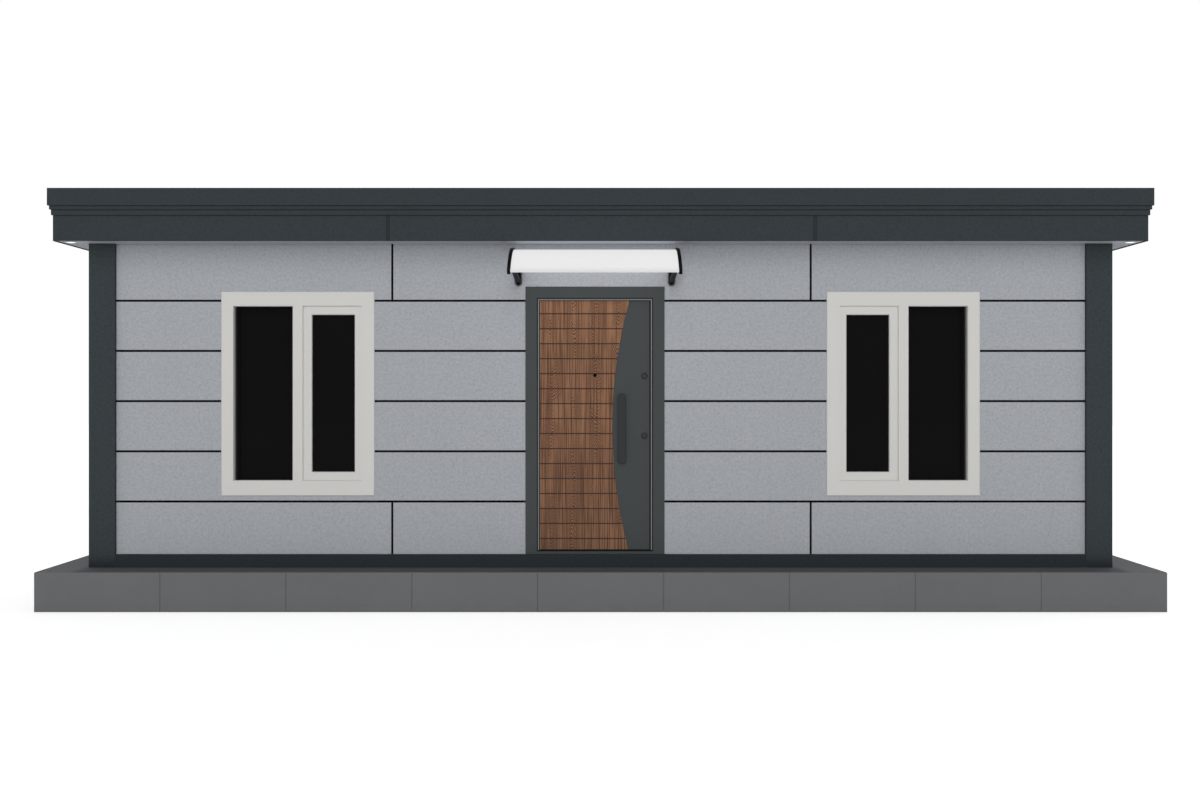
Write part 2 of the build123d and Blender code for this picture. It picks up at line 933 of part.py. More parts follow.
def soffit():
    outer_x = half_length + fascia_inside
    outer_y = half_depth + fascia_inside
    inner_x = half_length - core_face
    inner_y = half_depth - core_face
    z = (soffit_level, soffit_level + soffit_thickness)
    boards = []
    for side in (-1, 1):
        y = sorted((side * inner_y, side * outer_y))
        boards.append(block((-outer_x, outer_x), y, z))
        x = sorted((side * inner_x, side * outer_x))
        boards.append(block(x, (-inner_y, inner_y), z))
    for x, y in light_places():
        hole = upright_cylinder(x, y, z, light_hole)
        boards = [board - hole for board in boards]
    return boards


def downlights():
    lights = []
    for x, y in light_places():
        rim = upright_cylinder(x, y, (soffit_level - light_rim, soffit_level), light_radius)
        body = upright_cylinder(x, y, (soffit_level, soffit_level + light_depth), light_hole)
        well = upright_cylinder(x, y, (soffit_level - light_rim, soffit_level + light_rim), light_lens)
        lights.append(rim + body - well)
    return joined(lights)


def downlight_lenses():
    z = (soffit_level - light_rim / 2, soffit_level + light_rim)
    return joined([upright_cylinder(x, y, z, light_lens) for x, y in light_places()])


def pair(shape, to_other_side):
    """A piece and its twin on the other side, as one sub-part."""
    return joined([shape, to_other_side * mirrored(shape)])


def both_sides(shape):
    """A piece and its twin after a half turn about the house's middle."""
    return joined([shape, Rot(0, 0, 180) * shape])


def all_parts():
    """Every sub-part by name."""
    front_boards, front_strips = front_skin()
    back_boards, back_strips = back_skin()
    left_boards, left_strips = side_skin()
    wall_left = side_wall()
    eave_front = fascia_front()
    eave_left = fascia_left()
    roof_front = roof_panel_front()
    post = corner_post()
    half_turn = Rot(0, 0, 180)
    in_place = Pos(0, 0, 0)
    about_door = Pos(2 * door_centre, 0, 0)
    return {
        "plinth": plinth(),
        "floor_rails": joined([both_sides(floor_rail_front()), both_sides(floor_rail_side())]),
        "floor_joists": floor_joists(),
        "floor_deck": floor_deck(),
        "corner_posts": joined([pair(post, in_place), half_turn * pair(post, in_place)]),
        "front_wall_left": front_wall_left(),
        "front_wall_right": front_wall_right(),
        "front_wall_over_door": front_wall_over_door(),
        "back_wall": back_wall(),
        "left_wall": wall_left,
        "right_wall": half_turn * wall_left,
        "front_boards": joined([front_boards]),
        "back_boards": joined([back_boards]),
        "side_boards": both_sides(left_boards),
        "joint_strips": joined([front_strips, back_strips, both_sides(left_strips)]),
        "window_frames": pair(window_frame(), in_place),
        "window_sashes": pair(window_sash(), in_place),
        "window_glass": joined([pair(pane, in_place) for pane in window_pane_pair()]),
        "window_handles": pair(window_handle(), in_place),
        "door_frame": door_frame(),
        "door_seal": door_seal(),
        "door_leaf": door_leaf(),
        "door_wood_panel": door_wood_panel(),
        "door_steel_panel": door_steel_panel(),
        "door_pull_handle": door_pull_handle(),
        "door_fittings": door_fittings(),
        "door_inner_handle": door_inner_handle(),
        "hinges_frame_side": hinges_frame_side(),
        "hinges_leaf_side": hinges_leaf_side(),
        "canopy_sheet": canopy_sheet(),
        "canopy_ribs": pair(canopy_rib(), about_door),
        "canopy_brackets": pair(canopy_bracket(), about_door),
        "canopy_rails": joined([canopy_front_rail(), canopy_back_rail()]),
        "ceiling_panel": ceiling_panel(),
        "roof_beams_long": both_sides(roof_beam_front()),
        "roof_beams_short": both_sides(roof_beam_left()),
        "roof_panel_front": roof_front,
        "roof_panel_back": half_turn * roof_front,
        "roof_ridge_cap": roof_ridge_cap(),
        "soffit": joined(soffit()),
        "fascia_front": eave_front,
        "fascia_back": half_turn * eave_front,
        "fascia_left": eave_left,
        "fascia_right": half_turn * eave_left,
        "downlights": downlights(),
        "downlight_lenses": downlight_lenses(),
    }


os.makedirs("parts", exist_ok=True)
for node, shape in all_parts().items():
    export_step(shape, f"parts/{node}.step")
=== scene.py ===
import math

import bmesh
import bpy
from bpy.props import FloatProperty, FloatVectorProperty, IntProperty, PointerProperty
from bpy.types import Operator, Panel, PropertyGroup
from mathutils import Matrix, Vector


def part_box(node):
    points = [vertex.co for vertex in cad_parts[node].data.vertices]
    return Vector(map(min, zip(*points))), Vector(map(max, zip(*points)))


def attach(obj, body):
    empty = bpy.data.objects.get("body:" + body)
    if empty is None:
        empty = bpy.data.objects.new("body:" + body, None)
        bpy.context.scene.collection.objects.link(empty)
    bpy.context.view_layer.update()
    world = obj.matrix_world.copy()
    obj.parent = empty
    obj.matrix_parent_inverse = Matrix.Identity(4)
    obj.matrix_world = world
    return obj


bl_info = {
    "name": "Container house finishes",
    "version": (1, 0, 0),
    "blender": (4, 5, 0),
    "location": "3D View > Sidebar > House",
    "description": "Finishes, small fittings and a plain stage for a container house",
    "category": "Object",
}

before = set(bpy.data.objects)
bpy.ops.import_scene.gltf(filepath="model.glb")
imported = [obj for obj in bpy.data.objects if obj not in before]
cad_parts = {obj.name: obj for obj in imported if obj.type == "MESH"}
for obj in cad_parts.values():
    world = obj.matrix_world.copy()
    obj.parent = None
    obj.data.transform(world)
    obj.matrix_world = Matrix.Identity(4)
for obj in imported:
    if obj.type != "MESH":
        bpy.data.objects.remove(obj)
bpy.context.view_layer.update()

# Lengths are in metres. The house's front faces -Y.
FRONT = (0, -1, 0)
UP = (0, 0, 1)
DOWN = (0, 0, -1)
TURNED_TO_FRONT = (math.radians(90), 0, 0)
HALF_TURN = Matrix.Rotation(math.pi, 4, "Z")
MIRRORED = Matrix.Scale(-1, 4, (1, 0, 0))
SMOOTH_ANGLE = math.radians(35)

# The walnut facing's slats
LOWEST_GROOVE = 0.5255
SLAT_HEIGHT = 0.1176

# The plinth's top: from here up its concrete counts as the top face, which gets painted shade along the wall
PLINTH_TOP = 0.3
PLINTH_TOP_REACHED = 0.3035

# The seams in the front fascia, from the house's middle
SEAM_PLACES = (-1.633, 1.647)

# Each sun lamp: its share of the front light, the direction it shines from and its spread in degrees
LAMPS = {
    "front_lamp": (1.0, (-0.06, -1.0, 0.03), 14),
    "raised_lamp": (0.53, (0.05, -1.0, 0.36), 24),
    "high_lamp": (0.5, (-0.05, -1.0, 0.8), 24),
    "back_lamp": (0.6, (0.35, 1.0, 0.6), 60),
}

CAMERA_PLACE = (0, -13.22, 1.669)
CAMERA_LENS = 45
CAMERA_SHIFT = (-0.0005, -0.006)


def paint(red, green, blue):
    """A colour given from 0 to 255 on a screen, as the linear colour that shaders use."""
    shares = [part / 255 for part in (red, green, blue)]
    return [part / 12.92 if part <= 0.04045 else ((part + 0.055) / 1.055) ** 2.4 for part in shares]


def shade(colour, factor):
    """A linear colour made darker, or lighter above 1."""
    return [part * factor for part in colour]


def colour_setting(label, parts, tone):
    """The colour of some parts, which a user can change, given from 0 to 255."""
    return FloatVectorProperty(
        name=label,
        description="Colour of " + parts,
        subtype="COLOR",
        size=3,
        min=0,
        max=1,
        default=paint(*tone),
    )


def length_setting(label, description, metres):
    """A length that a user can change."""
    return FloatProperty(
        name=label, description=description, subtype="DISTANCE", unit="LENGTH", min=0, default=metres
    )


class HouseColours(PropertyGroup):
    """The colours that a user may want to change."""

    boards: colour_setting("Boards", "the outside boards", (156, 159, 164))
    strips: colour_setting("Joint strips", "the strips between the boards", (6, 8, 10))
    posts: colour_setting("Posts", "the corner posts", (50, 56, 59))
    rails: colour_setting("Floor rails", "the rails round the floor", (39, 44, 48))
    fascia: colour_setting("Fascia", "the eaves' panels", (47, 53, 56))
    soffit: colour_setting("Soffit", "the sheets under the eaves", (171, 176, 183))
    plinth: colour_setting("Plinth", "the plinth's concrete", (99, 100, 102))
    windows: colour_setting("Windows", "the window frames", (196, 195, 192))
    glass: colour_setting("Glass", "the window glass", (12, 12, 13))
    door: colour_setting("Door", "the door's powder coat", (57, 61, 62))
    handles: colour_setting("Door handle", "the door's handle and lock covers", (27, 30, 31))
    wood_light: colour_setting("Walnut, light", "the walnut facing at its lightest", (131, 94, 69))
    wood_dark: colour_setting("Walnut, dark", "the walnut facing at its darkest", (72, 44, 26))
    canopy: colour_setting("Canopy", "the canopy's sheet", (170, 170, 171))
    moulded: colour_setting("Canopy ends", "the canopy's moulded ends and brackets", (5, 5, 6))
    roof: colour_setting("Roof", "the roof panels", (186, 189, 191))
    inside: colour_setting("Inside lining", "the walls and ceiling inside", (226, 226, 222))
    floor: colour_setting("Floor covering", "the floor inside", (150, 128, 104))


class HouseSizes(PropertyGroup):
    """The sizes that a user may want to change."""

    emboss: length_setting("Emboss", "Size of the grain in the boards' face", 0.007)
    gasket: length_setting("Gasket", "Width of the rubber gasket round each sash pane", 0.003)
    bead: length_setting("Glazing bead", "Width of the bead at each fixed pane's outer side", 0.021)
    screw: length_setting("Screw washer", "Radius of the washers under the screws", 0.011)
    skirting: length_setting("Skirting", "Height of the skirting inside", 0.06)
    screw_rows: IntProperty(
        name="Screw rows", description="Rows of screws on each roof slope", min=2, max=8, default=4
    )
    stage: length_setting("Stage", "Radius of the floor that the house stands on", 70)
    ambient: FloatProperty(
        name="Ambient light", description="Strength of the light from all round", min=0, max=2, default=0.42
    )
    key: FloatProperty(
        name="Front light", description="Strength of the soft lamp in front", min=0, max=10, default=1.0
    )


class Nodes:
    """A node tree, with short calls that add nodes and join them."""

    def __init__(self, tree):
        self.tree = tree

    def fill(self, socket, value):
        """Joins a socket to one that is given, or sets its value."""
        if isinstance(value, bpy.types.NodeSocket):
            self.tree.links.new(value, socket)
        elif socket.type == "RGBA" and len(value) == 3:
            socket.default_value = (*value, 1)
        else:
            socket.default_value = value

    def add(self, kind, settings=None, **values):
        """A new node. In the names of its inputs, an underscore stands for a space."""
        node = self.tree.nodes.new("ShaderNode" + kind)
        for name, value in (settings or {}).items():
            setattr(node, name, value)
        for name, value in values.items():
            self.fill(node.inputs[name.replace("_", " ")], value)
        return node

    def calc(self, operation, *values):
        """The result of a maths operation."""
        node = self.add("Math", {"operation": operation})
        for socket, value in zip(node.inputs, values):
            self.fill(socket, value)
        return node.outputs[0]

    def plus(self, first, second):
        return self.calc("ADD", first, second)

    def minus(self, first, second):
        return self.calc("SUBTRACT", first, second)

    def times(self, first, second):
        return self.calc("MULTIPLY", first, second)

    def parts(self, vector):
        """The X, Y and Z of a vector."""
        return self.add("SeparateXYZ", Vector=vector).outputs

    def scaled(self, vector, amounts):
        """A vector multiplied by an amount along each axis."""
        node = self.add("VectorMath", {"operation": "MULTIPLY"})
        self.fill(node.inputs[0], vector)
        self.fill(node.inputs[1], amounts)
        return node.outputs[0]

    def noise(self, vector, scale, detail=2.0, roughness=0.5):
        """Clouds of noise, with this many to a metre."""
        node = self.add("TexNoise", Vector=vector, Scale=scale, Detail=detail, Roughness=roughness)
        return node.outputs["Fac"]

    def drawn_noise(self, vector, rates, detail=2.0, roughness=0.5):
        """Noise with its own rate along each axis, drawn out where the rate is low."""
        return self.noise(self.scaled(vector, rates), 1.0, detail, roughness)

    def ramp(self, value, low, high, start=0.0, end=1.0):
        """Passes smoothly from start to end as a value goes from low to high."""
        node = self.add("MapRange", {"interpolation_type": "SMOOTHSTEP"}, Value=value)
        for name, number in (("From Min", low), ("From Max", high), ("To Min", start), ("To Max", end)):
            node.inputs[name].default_value = number
        return node.outputs[0]

    def mix(self, share, first, second):
        """The first colour, with a share of the second."""
        node = self.add("Mix", {"data_type": "RGBA"})
        self.fill(node.inputs[0], share)
        self.fill(node.inputs[6], first)
        self.fill(node.inputs[7], second)
        return node.outputs[2]

    def effect(self, name, **values):
        """What one of the node groups gives."""
        return self.add("Group", {"node_tree": bpy.data.node_groups[name]}, **values).outputs

    def mottled(self, place, colour, size, amount):
        """A colour whose tone changes slowly, in clouds of a size."""
        return self.effect("Mottle", Vector=place, Colour=colour, Size=size, Amount=amount)["Colour"]

    def dress(self, shader, colour, roughness, height, depth, strength=1.0):
        """Joins a shader to its colour, its roughness and the height that bumps it."""
        bump = self.add("Bump", Height=height, Strength=strength, Distance=depth)
        self.fill(shader["Base Color"], colour)
        self.fill(shader["Roughness"], roughness)
        self.fill(shader["Normal"], bump.outputs[0])

    def seen_directly(self):
        """1 for what the camera sees, itself or in gloss or glass, and 0 for light that falls on things."""
        path = self.add("LightPath").outputs
        mirrored_or_through = self.calc("MAXIMUM", path["Is Glossy Ray"], path["Is Transmission Ray"])
        return self.calc("MAXIMUM", path["Is Camera Ray"], mirrored_or_through)


def emptied(owner):
    """The node tree of a material or a world, with nothing in it yet."""
    owner.use_nodes = True
    owner.node_tree.nodes.clear()
    return Nodes(owner.node_tree)


def new_effect(name, inputs, outputs):
    """An empty node group with named sockets: its nodes, what comes in and what goes out."""
    tree = bpy.data.node_groups.new(name, "ShaderNodeTree")
    for label, kind in inputs.items():
        tree.interface.new_socket(name=label, in_out="INPUT", socket_type="NodeSocket" + kind)
    for label, kind in outputs.items():
        tree.interface.new_socket(name=label, in_out="OUTPUT", socket_type="NodeSocket" + kind)
    arriving = tree.nodes.new("NodeGroupInput").outputs
    leaving = tree.nodes.new("NodeGroupOutput").inputs
    return Nodes(tree), arriving, leaving


def mottle_effect():
    """Slow changes of tone over a surface."""
    nodes, given, result = new_effect(
        "Mottle",
        {"Vector": "Vector", "Colour": "Color", "Size": "Float", "Amount": "Float"},
        {"Colour": "Color"},
    )
    clouds = nodes.noise(given["Vector"], nodes.calc("DIVIDE", 1.0, given["Size"]), 4.0, 0.6)
    swing = nodes.times(nodes.minus(clouds, 0.5), nodes.times(given["Amount"], 4.0))
    toned = nodes.add("HueSaturation", Value=nodes.plus(swing, 1.0), Color=given["Colour"])
    nodes.fill(result["Colour"], toned.outputs[0])


def emboss_effect():
    """The fine grain pressed into coated sheet, as a height and as a mask of its pits."""
    nodes, given, result = new_effect(
        "Emboss", {"Vector": "Vector", "Size": "Float"}, {"Height": "Float", "Pits": "Float"}
    )
    place = given["Vector"]
    rate = nodes.calc("DIVIDE", 1.0, given["Size"])
    wander = nodes.add("TexNoise", Vector=place, Scale=nodes.times(rate, 0.8), Detail=1.0)
    bent = nodes.add("VectorMath", {"operation": "ADD"})
    nodes.fill(bent.inputs[0], place)
    nodes.fill(bent.inputs[1], nodes.scaled(wander.outputs["Color"], (0.004, 0.004, 0.004)))
    cells = nodes.add("TexVoronoi", {"feature": "SMOOTH_F1"}, Scale=rate, Smoothness=0.6)
    nodes.fill(cells.inputs["Vector"], bent.outputs[0])
    fine = nodes.noise(place, nodes.times(rate, 1.7))
    nodes.fill(result["Height"], nodes.plus(nodes.times(cells.outputs["Distance"], 0.6), fine))
    coarse = nodes.noise(place, nodes.times(rate, 0.42), 3.0, 0.65)
    nodes.fill(result["Pits"], nodes.ramp(coarse, 0.54, 0.69))


def streak_effect():
    """Faint upright streaks that rain leaves on a wall."""
    nodes, given, result = new_effect("Rain streaks", {"Vector": "Vector"}, {"Mask": "Float"})
    tall = nodes.drawn_noise(given["Vector"], (9.0, 9.0, 0.35), 4.0, 0.6)
    patches = nodes.noise(given["Vector"], 0.9)
    nodes.fill(result["Mask"], nodes.times(nodes.ramp(tall, 0.45, 0.8), nodes.ramp(patches, 0.35, 0.7)))


def dust_effect():
    """Dust and splashes that fade with the height above the ground."""
    nodes, given, result = new_effect("Ground dust", {"Vector": "Vector", "Top": "Float"}, {"Mask": "Float"})
    height = nodes.parts(given["Vector"])["Z"]
    low = nodes.minus(1.0, nodes.calc("DIVIDE", height, given["Top"]))
    ragged = nodes.plus(low, nodes.minus(nodes.noise(given["Vector"], 7.0, 5.0, 0.65), 0.5))
    nodes.fill(result["Mask"], nodes.ramp(ragged, 0.1, 1.2))


def drawn_line_effect():
    """Fine lines along one direction, for rolled metal."""
    nodes, given, result = new_effect("Drawn lines", {"Vector": "Vector"}, {"Height": "Float"})
    nodes.fill(result["Height"], nodes.drawn_noise(given["Vector"], (4.0, 260.0, 260.0), 3.0, 0.6))


def walnut_effect():
    """Walnut veneer in mirrored leaves: nested arches, wide bands, streaks, fibres and pores."""
    nodes, given, result = new_effect(
        "Walnut figure",
        {"Vector": "Vector", "Light": "Color", "Dark": "Color", "Leaf": "Float", "Middle": "Float"},
        {"Colour": "Color", "Height": "Float", "Pores": "Float"},
    )
    vector = given["Vector"]
    place = nodes.parts(vector)

    # How far a spot is from its leaf's middle line, which sways, and from the height where the arches turn
    sway_reach = 0.11
    middle_line = 0.035
    sway = nodes.drawn_noise(vector, (5.0, 5.0, 1.6))
    shift = nodes.plus(nodes.times(nodes.minus(sway, 0.5), sway_reach), middle_line)
    side = nodes.calc("PINGPONG", nodes.plus(place["X"], shift), given["Leaf"])
    rise = nodes.calc("ABSOLUTE", nodes.minus(place["Z"], given["Middle"]))

    # Arches with a rounded point, which grow steeper towards the leaf's sides, and their dark late wood
    rounding = 0.00004
    slope = 1.5
    steepening = 14.0
    rings_to_a_metre = 38.0
    square = nodes.times(side, side)
    point = nodes.times(nodes.calc("SQRT", nodes.plus(square, rounding)), slope)
    arch = nodes.minus(rise, nodes.plus(point, nodes.times(square, steepening)))
    waver = nodes.drawn_noise(vector, (17.0, 17.0, 6.0), 3.0, 0.55)
    rings = nodes.calc("FRACT", nodes.plus(nodes.times(arch, rings_to_a_metre), nodes.times(waver, 3.0)))
    late = nodes.times(nodes.ramp(rings, 0.2, 0.8), nodes.ramp(rings, 1.0, 0.86))
    patches = nodes.drawn_noise(vector, (6.0, 6.0, 3.0))
    clear = nodes.times(nodes.ramp(side, 0.085, 0.035), nodes.ramp(patches, 0.4, 0.56, 0.1, 1.0))

    bands = nodes.drawn_noise(vector, (9.0, 9.0, 0.5), 2.0, 0.6)
    streaks = nodes.drawn_noise(vector, (105.0, 105.0, 1.6), 2.0, 0.6)
    fibres = nodes.drawn_noise(vector, (170.0, 170.0, 4.0), 4.0, 0.7)
    pores = nodes.ramp(nodes.drawn_noise(vector, (420.0, 420.0, 18.0)), 0.6, 0.72)

    # Upright tones, which give way to the arches where those are clear
    tone = nodes.plus(nodes.ramp(bands, 0.3, 0.7, 0.0, 0.14), nodes.ramp(streaks, 0.36, 0.62, 0.0, 0.76))
    tone = nodes.plus(tone, nodes.ramp(fibres, 0.25, 0.75, 0.0, 0.36))
    tone = nodes.times(tone, nodes.minus(1.0, nodes.times(clear, 0.5)))
    tone = nodes.plus(tone, nodes.times(clear, 0.56))
    tone = nodes.minus(tone, nodes.times(nodes.times(late, clear), 1.05))
    tone = nodes.minus(tone, nodes.times(pores, 0.1))
    nodes.fill(result["Colour"], nodes.mix(nodes.ramp(tone, 0.0, 1.15), given["Dark"], given["Light"]))
    nodes.fill(result["Height"], nodes.minus(nodes.times(fibres, 0.5), pores))
    nodes.fill(result["Pores"], pores)


def new_material(name, roughness, specular=0.3, metallic=0.0):
    """A material with one shader, and the place on the piece that its pattern follows."""
    material = bpy.data.materials.new(name)
    nodes = emptied(material)
    shader = nodes.add("BsdfPrincipled", Roughness=roughness, Metallic=metallic)
    shader.inputs["Specular IOR Level"].default_value = specular
    nodes.fill(nodes.add("OutputMaterial").inputs["Surface"], shader.outputs[0])
    place = nodes.add("TexCoord").outputs["Object"]
    return material, nodes, shader.inputs, place


def coated_sheet(
    name, colour, size, depth, roughness, speckle, cloud=0.012, specular=0.3, fleck=0.02, foot=0.0
):
    """Coated sheet metal with a pressed grain, flecks, a little rain and, below a height, a darker foot."""
    material, nodes, shader, place = new_material(name, roughness, specular)
    grain = nodes.effect("Emboss", Vector=place, Size=size)
    toned = nodes.mottled(place, colour, 0.35, cloud)
    toned = nodes.mottled(place, toned, 0.02, fleck)
    dark = shade(colour, 0.72)
    toned = nodes.mix(nodes.times(grain["Pits"], speckle), toned, dark)
    rain = nodes.effect("Rain streaks", Vector=place)["Mask"]
    toned = nodes.mix(nodes.times(rain, 0.12), toned, dark)
    if foot:
        height = nodes.parts(place)["Z"]
        toned = nodes.mix(nodes.ramp(height, foot, foot - 0.12, 0.0, 0.75), toned, shade(colour, 0.3))
    gloss = nodes.plus(nodes.times(grain["Pits"], 0.15), roughness)
    nodes.dress(shader, toned, gloss, grain["Height"], depth)
    return material


def concrete_material(colour):
    """Fair-faced concrete: cloudy tone, fine sand, a few air holes, a dusty foot and painted shade on the top
    along the wall.
    """
    material, nodes, shader, place = new_material("Cast concrete", 0.85, 0.25)
    toned = nodes.mottled(place, colour, 0.6, 0.04)
    toned = nodes.mottled(place, toned, 0.09, 0.025)
    sand = nodes.noise(place, 420.0, 3.0, 0.7)
    toned = nodes.mix(nodes.ramp(sand, 0.35, 0.75, 0.0, 0.25), toned, shade(colour, 1.3))
    holes = nodes.add("TexVoronoi", Vector=place, Scale=22.0)
    some = nodes.ramp(nodes.noise(place, 3.0), 0.5, 0.65)
    pits = nodes.times(nodes.ramp(holes.outputs["Distance"], 0.1, 0.05), some)
    toned = nodes.mix(nodes.times(pits, 0.55), toned, shade(colour, 0.4))
    dust = nodes.effect("Ground dust", Vector=place, Top=0.16)["Mask"]
    toned = nodes.mix(nodes.times(dust, 0.18), toned, shade(colour, 0.7))
    spot = nodes.parts(place)
    # Painted shade on the top face where it runs along the wall, fading out past the house's ends
    painted_shade_on_top = nodes.ramp(spot["Z"], PLINTH_TOP, PLINTH_TOP_REACHED, 0.0, 0.8)
    shade_along_the_wall = nodes.ramp(nodes.calc("ABSOLUTE", spot["X"]), 4.06, 3.98, 0.05, 1.0)
    toned = nodes.mix(nodes.times(painted_shade_on_top, shade_along_the_wall), toned, shade(colour, 0.4))
    height = nodes.minus(nodes.times(sand, 0.3), pits)
    nodes.dress(shader, toned, nodes.ramp(sand, 0.3, 0.8, 0.78, 0.95), height, 0.002, 0.7)
    return material


def moulded_material(name, colour, roughness, size=0.0012, depth=0.00006, specular=0.35):
    """Moulded or extruded plastic: an even skin with a faint grain."""
    material, nodes, shader, place = new_material(name, roughness, specular)
    toned = nodes.mottled(place, colour, 0.25, 0.008)
    worn = nodes.ramp(nodes.noise(place, 6.0, 3.0), 0.3, 0.7, roughness - 0.04, roughness + 0.05)
    nodes.dress(shader, toned, worn, nodes.noise(place, 1 / size), depth)
    return material


def glass_material(colour):
    """Dark tinted glazing, with a trace of dust in its gloss."""
    material, nodes, shader, place = new_material("Tinted glazing", 0.04, 0.03)
    toned = nodes.mottled(place, colour, 0.7, 0.03)
    dusty = nodes.ramp(nodes.noise(place, 2.5, 5.0, 0.6), 0.35, 0.75, 0.02, 0.1)
    nodes.dress(shader, toned, dusty, nodes.noise(place, 1.6, 0.0), 0.002, 0.1)
    return material


def walnut_material(light, dark):
    """Walnut facing: veneer under satin lacquer, each slat in its own tone, with painted shade in its
    grooves.
    """
    material, nodes, shader, place = new_material("Walnut facing", 0.42, 0.3)
    figure = nodes.effect("Walnut figure", Vector=place, Light=light, Dark=dark, Leaf=0.088, Middle=1.35)
    height = nodes.parts(place)["Z"]
    slat = nodes.calc("FLOOR", nodes.calc("DIVIDE", nodes.minus(height, LOWEST_GROOVE), SLAT_HEIGHT))
    tone = nodes.add("TexWhiteNoise", {"noise_dimensions": "1D"})
    nodes.fill(tone.inputs["W"], slat)
    level = nodes.ramp(tone.outputs["Value"], 0.0, 1.0, 0.93, 1.05)
    slope = nodes.ramp(height, 0.4, 2.4, 0.95, 1.06)
    toned = nodes.add("HueSaturation", Value=nodes.times(level, slope), Color=figure["Colour"])
    # Painted shade: the grooves between the slats are darkened towards a dark brown
    half_slat_below = nodes.minus(height, LOWEST_GROOVE - SLAT_HEIGHT / 2)
    step = nodes.calc("FRACT", nodes.calc("DIVIDE", half_slat_below, SLAT_HEIGHT))
    groove_shade = nodes.ramp(nodes.calc("ABSOLUTE", nodes.minus(step, 0.5)), 0.05, 0.03)
    shaded = nodes.mix(nodes.times(groove_shade, 0.92), toned.outputs[0], paint(40, 19, 11))
    gloss = nodes.ramp(figure["Pores"], 0.0, 1.0, 0.4, 0.6)
    nodes.dress(shader, shaded, gloss, figure["Height"], 0.0004, 0.6)
    return material


def canopy_material(colour):
    """White translucent sheet: it lets the light through, and has a painted glow from its emission, stronger
    on its top and, for light that falls on the wall below, on its underside.
    """
    material, nodes, shader, place = new_material("Translucent sheet", 0.55, 0.1)
    toned = nodes.mottled(place, colour, 0.4, 0.004)
    worn = nodes.ramp(nodes.noise(place, 5.0, 3.0), 0.3, 0.7, 0.5, 0.6)
    nodes.dress(shader, toned, worn, nodes.noise(place, 300.0, 1.0), 0.0001, 0.5)
    path = nodes.add("LightPath").outputs
    nodes.fill(shader["Alpha"], nodes.minus(1.0, path["Is Shadow Ray"]))
    # Painted glow: emission on the upward faces, and on the underside for the light it gives to the wall
    # below
    upward = nodes.parts(nodes.add("NewGeometry").outputs["Normal"])["Z"]
    top = nodes.ramp(upward, 0.75, 0.98, 0.46, 0.54)
    below = nodes.times(nodes.calc("LESS_THAN", upward, 0.0), path["Is Diffuse Ray"])
    nodes.fill(shader["Emission Color"], nodes.plus(top, nodes.times(below, 0.5)))
    shader["Emission Strength"].default_value = 1.0
    return material


def metal_material(name, colour, roughness, spangle=0.0):
    """Bare metal with drawn lines, and the crystals of a zinc coat where spangle is above 0."""
    material, nodes, shader, place = new_material(name, roughness, 0.5, 1.0)
    lines = nodes.effect("Drawn lines", Vector=place)["Height"]
    cells = nodes.add("TexVoronoi", Vector=place, Scale=90.0)
    level = nodes.ramp(cells.outputs["Color"], 0.0, 1.0, 1 - spangle, 1 + spangle / 3)
    toned = nodes.add("HueSaturation", Value=level, Color=colour).outputs[0]
    worn = nodes.ramp(lines, 0.3, 0.7, roughness - 0.06, roughness + 0.08)
    nodes.dress(shader, toned, worn, lines, 0.0002, 0.4)
    return material


def lining_material(colour):
    """Coated panel lining with shallow upright lines."""
    material, nodes, shader, place = new_material("Inside lining", 0.5, 0.3)
    toned = nodes.mottled(place, colour, 0.5, 0.01)
    worn = nodes.ramp(nodes.noise(place, 4.0, 3.0), 0.3, 0.7, 0.45, 0.56)
    spot = nodes.parts(place)
    line = nodes.calc("PINGPONG", nodes.plus(spot["X"], spot["Y"]), 0.05)
    nodes.dress(shader, toned, worn, nodes.ramp(line, 0.0, 0.006), 0.0012, 0.6)
    return material


def floor_material(colour):
    """Floor covering in planks, with a drawn-out grain."""
    material, nodes, shader, place = new_material("Floor planks", 0.5, 0.3)
    planks = nodes.add(
        "TexBrick",
        {"offset": 0.37},
        Vector=place,
        Scale=1.0,
        Brick_Width=1.25,
        Row_Height=0.19,
        Mortar_Size=0.0015,
        Color1=shade(colour, 0.85),
        Color2=shade(colour, 1.15),
        Mortar=shade(colour, 0.3),
    )
    grain = nodes.drawn_noise(place, (2.5, 110.0, 1.0), 4.0, 0.65)
    veined = nodes.mix(nodes.ramp(grain, 0.35, 0.75, 0.0, 0.5), planks.outputs["Color"], shade(colour, 0.55))
    height = nodes.minus(grain, planks.outputs["Fac"])
    nodes.dress(shader, veined, nodes.ramp(grain, 0.3, 0.7, 0.42, 0.6), height, 0.0008, 0.5)
    return material


def lens_material():
    """Opal diffuser of a light that is on."""
    material, nodes, shader, place = new_material("Opal diffuser", 0.35, 0.4)
    toned = nodes.mottled(place, paint(242, 242, 236), 0.02, 0.01)
    worn = nodes.ramp(nodes.noise(place, 60.0), 0.3, 0.7, 0.3, 0.42)
    nodes.dress(shader, toned, worn, nodes.noise(place, 500.0, 1.0), 0.0002)
    shader["Emission Color"].default_value = (1, 1, 1, 1)
    shader["Emission Strength"].default_value = 1.0
    return material


def rubber_material():
    """Black rubber with a matt bloom."""
    material, nodes, shader, place = new_material("Gasket rubber", 0.75, 0.25)
    bloom = nodes.noise(place, 40.0, 4.0, 0.6)
    toned = nodes.mix(nodes.ramp(bloom, 0.4, 0.75, 0.0, 0.4), paint(26, 27, 28), paint(48, 49, 50))
    worn = nodes.ramp(bloom, 0.3, 0.7, 0.68, 0.85)
    nodes.dress(shader, toned, worn, nodes.noise(place, 900.0, 1.0), 0.00006)
    return material


def finish(material, *names):
    """Gives the CAD nodes with these names one material."""
    for name in names:
        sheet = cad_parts[name].data
        sheet.materials.clear()
        sheet.materials.append(material)


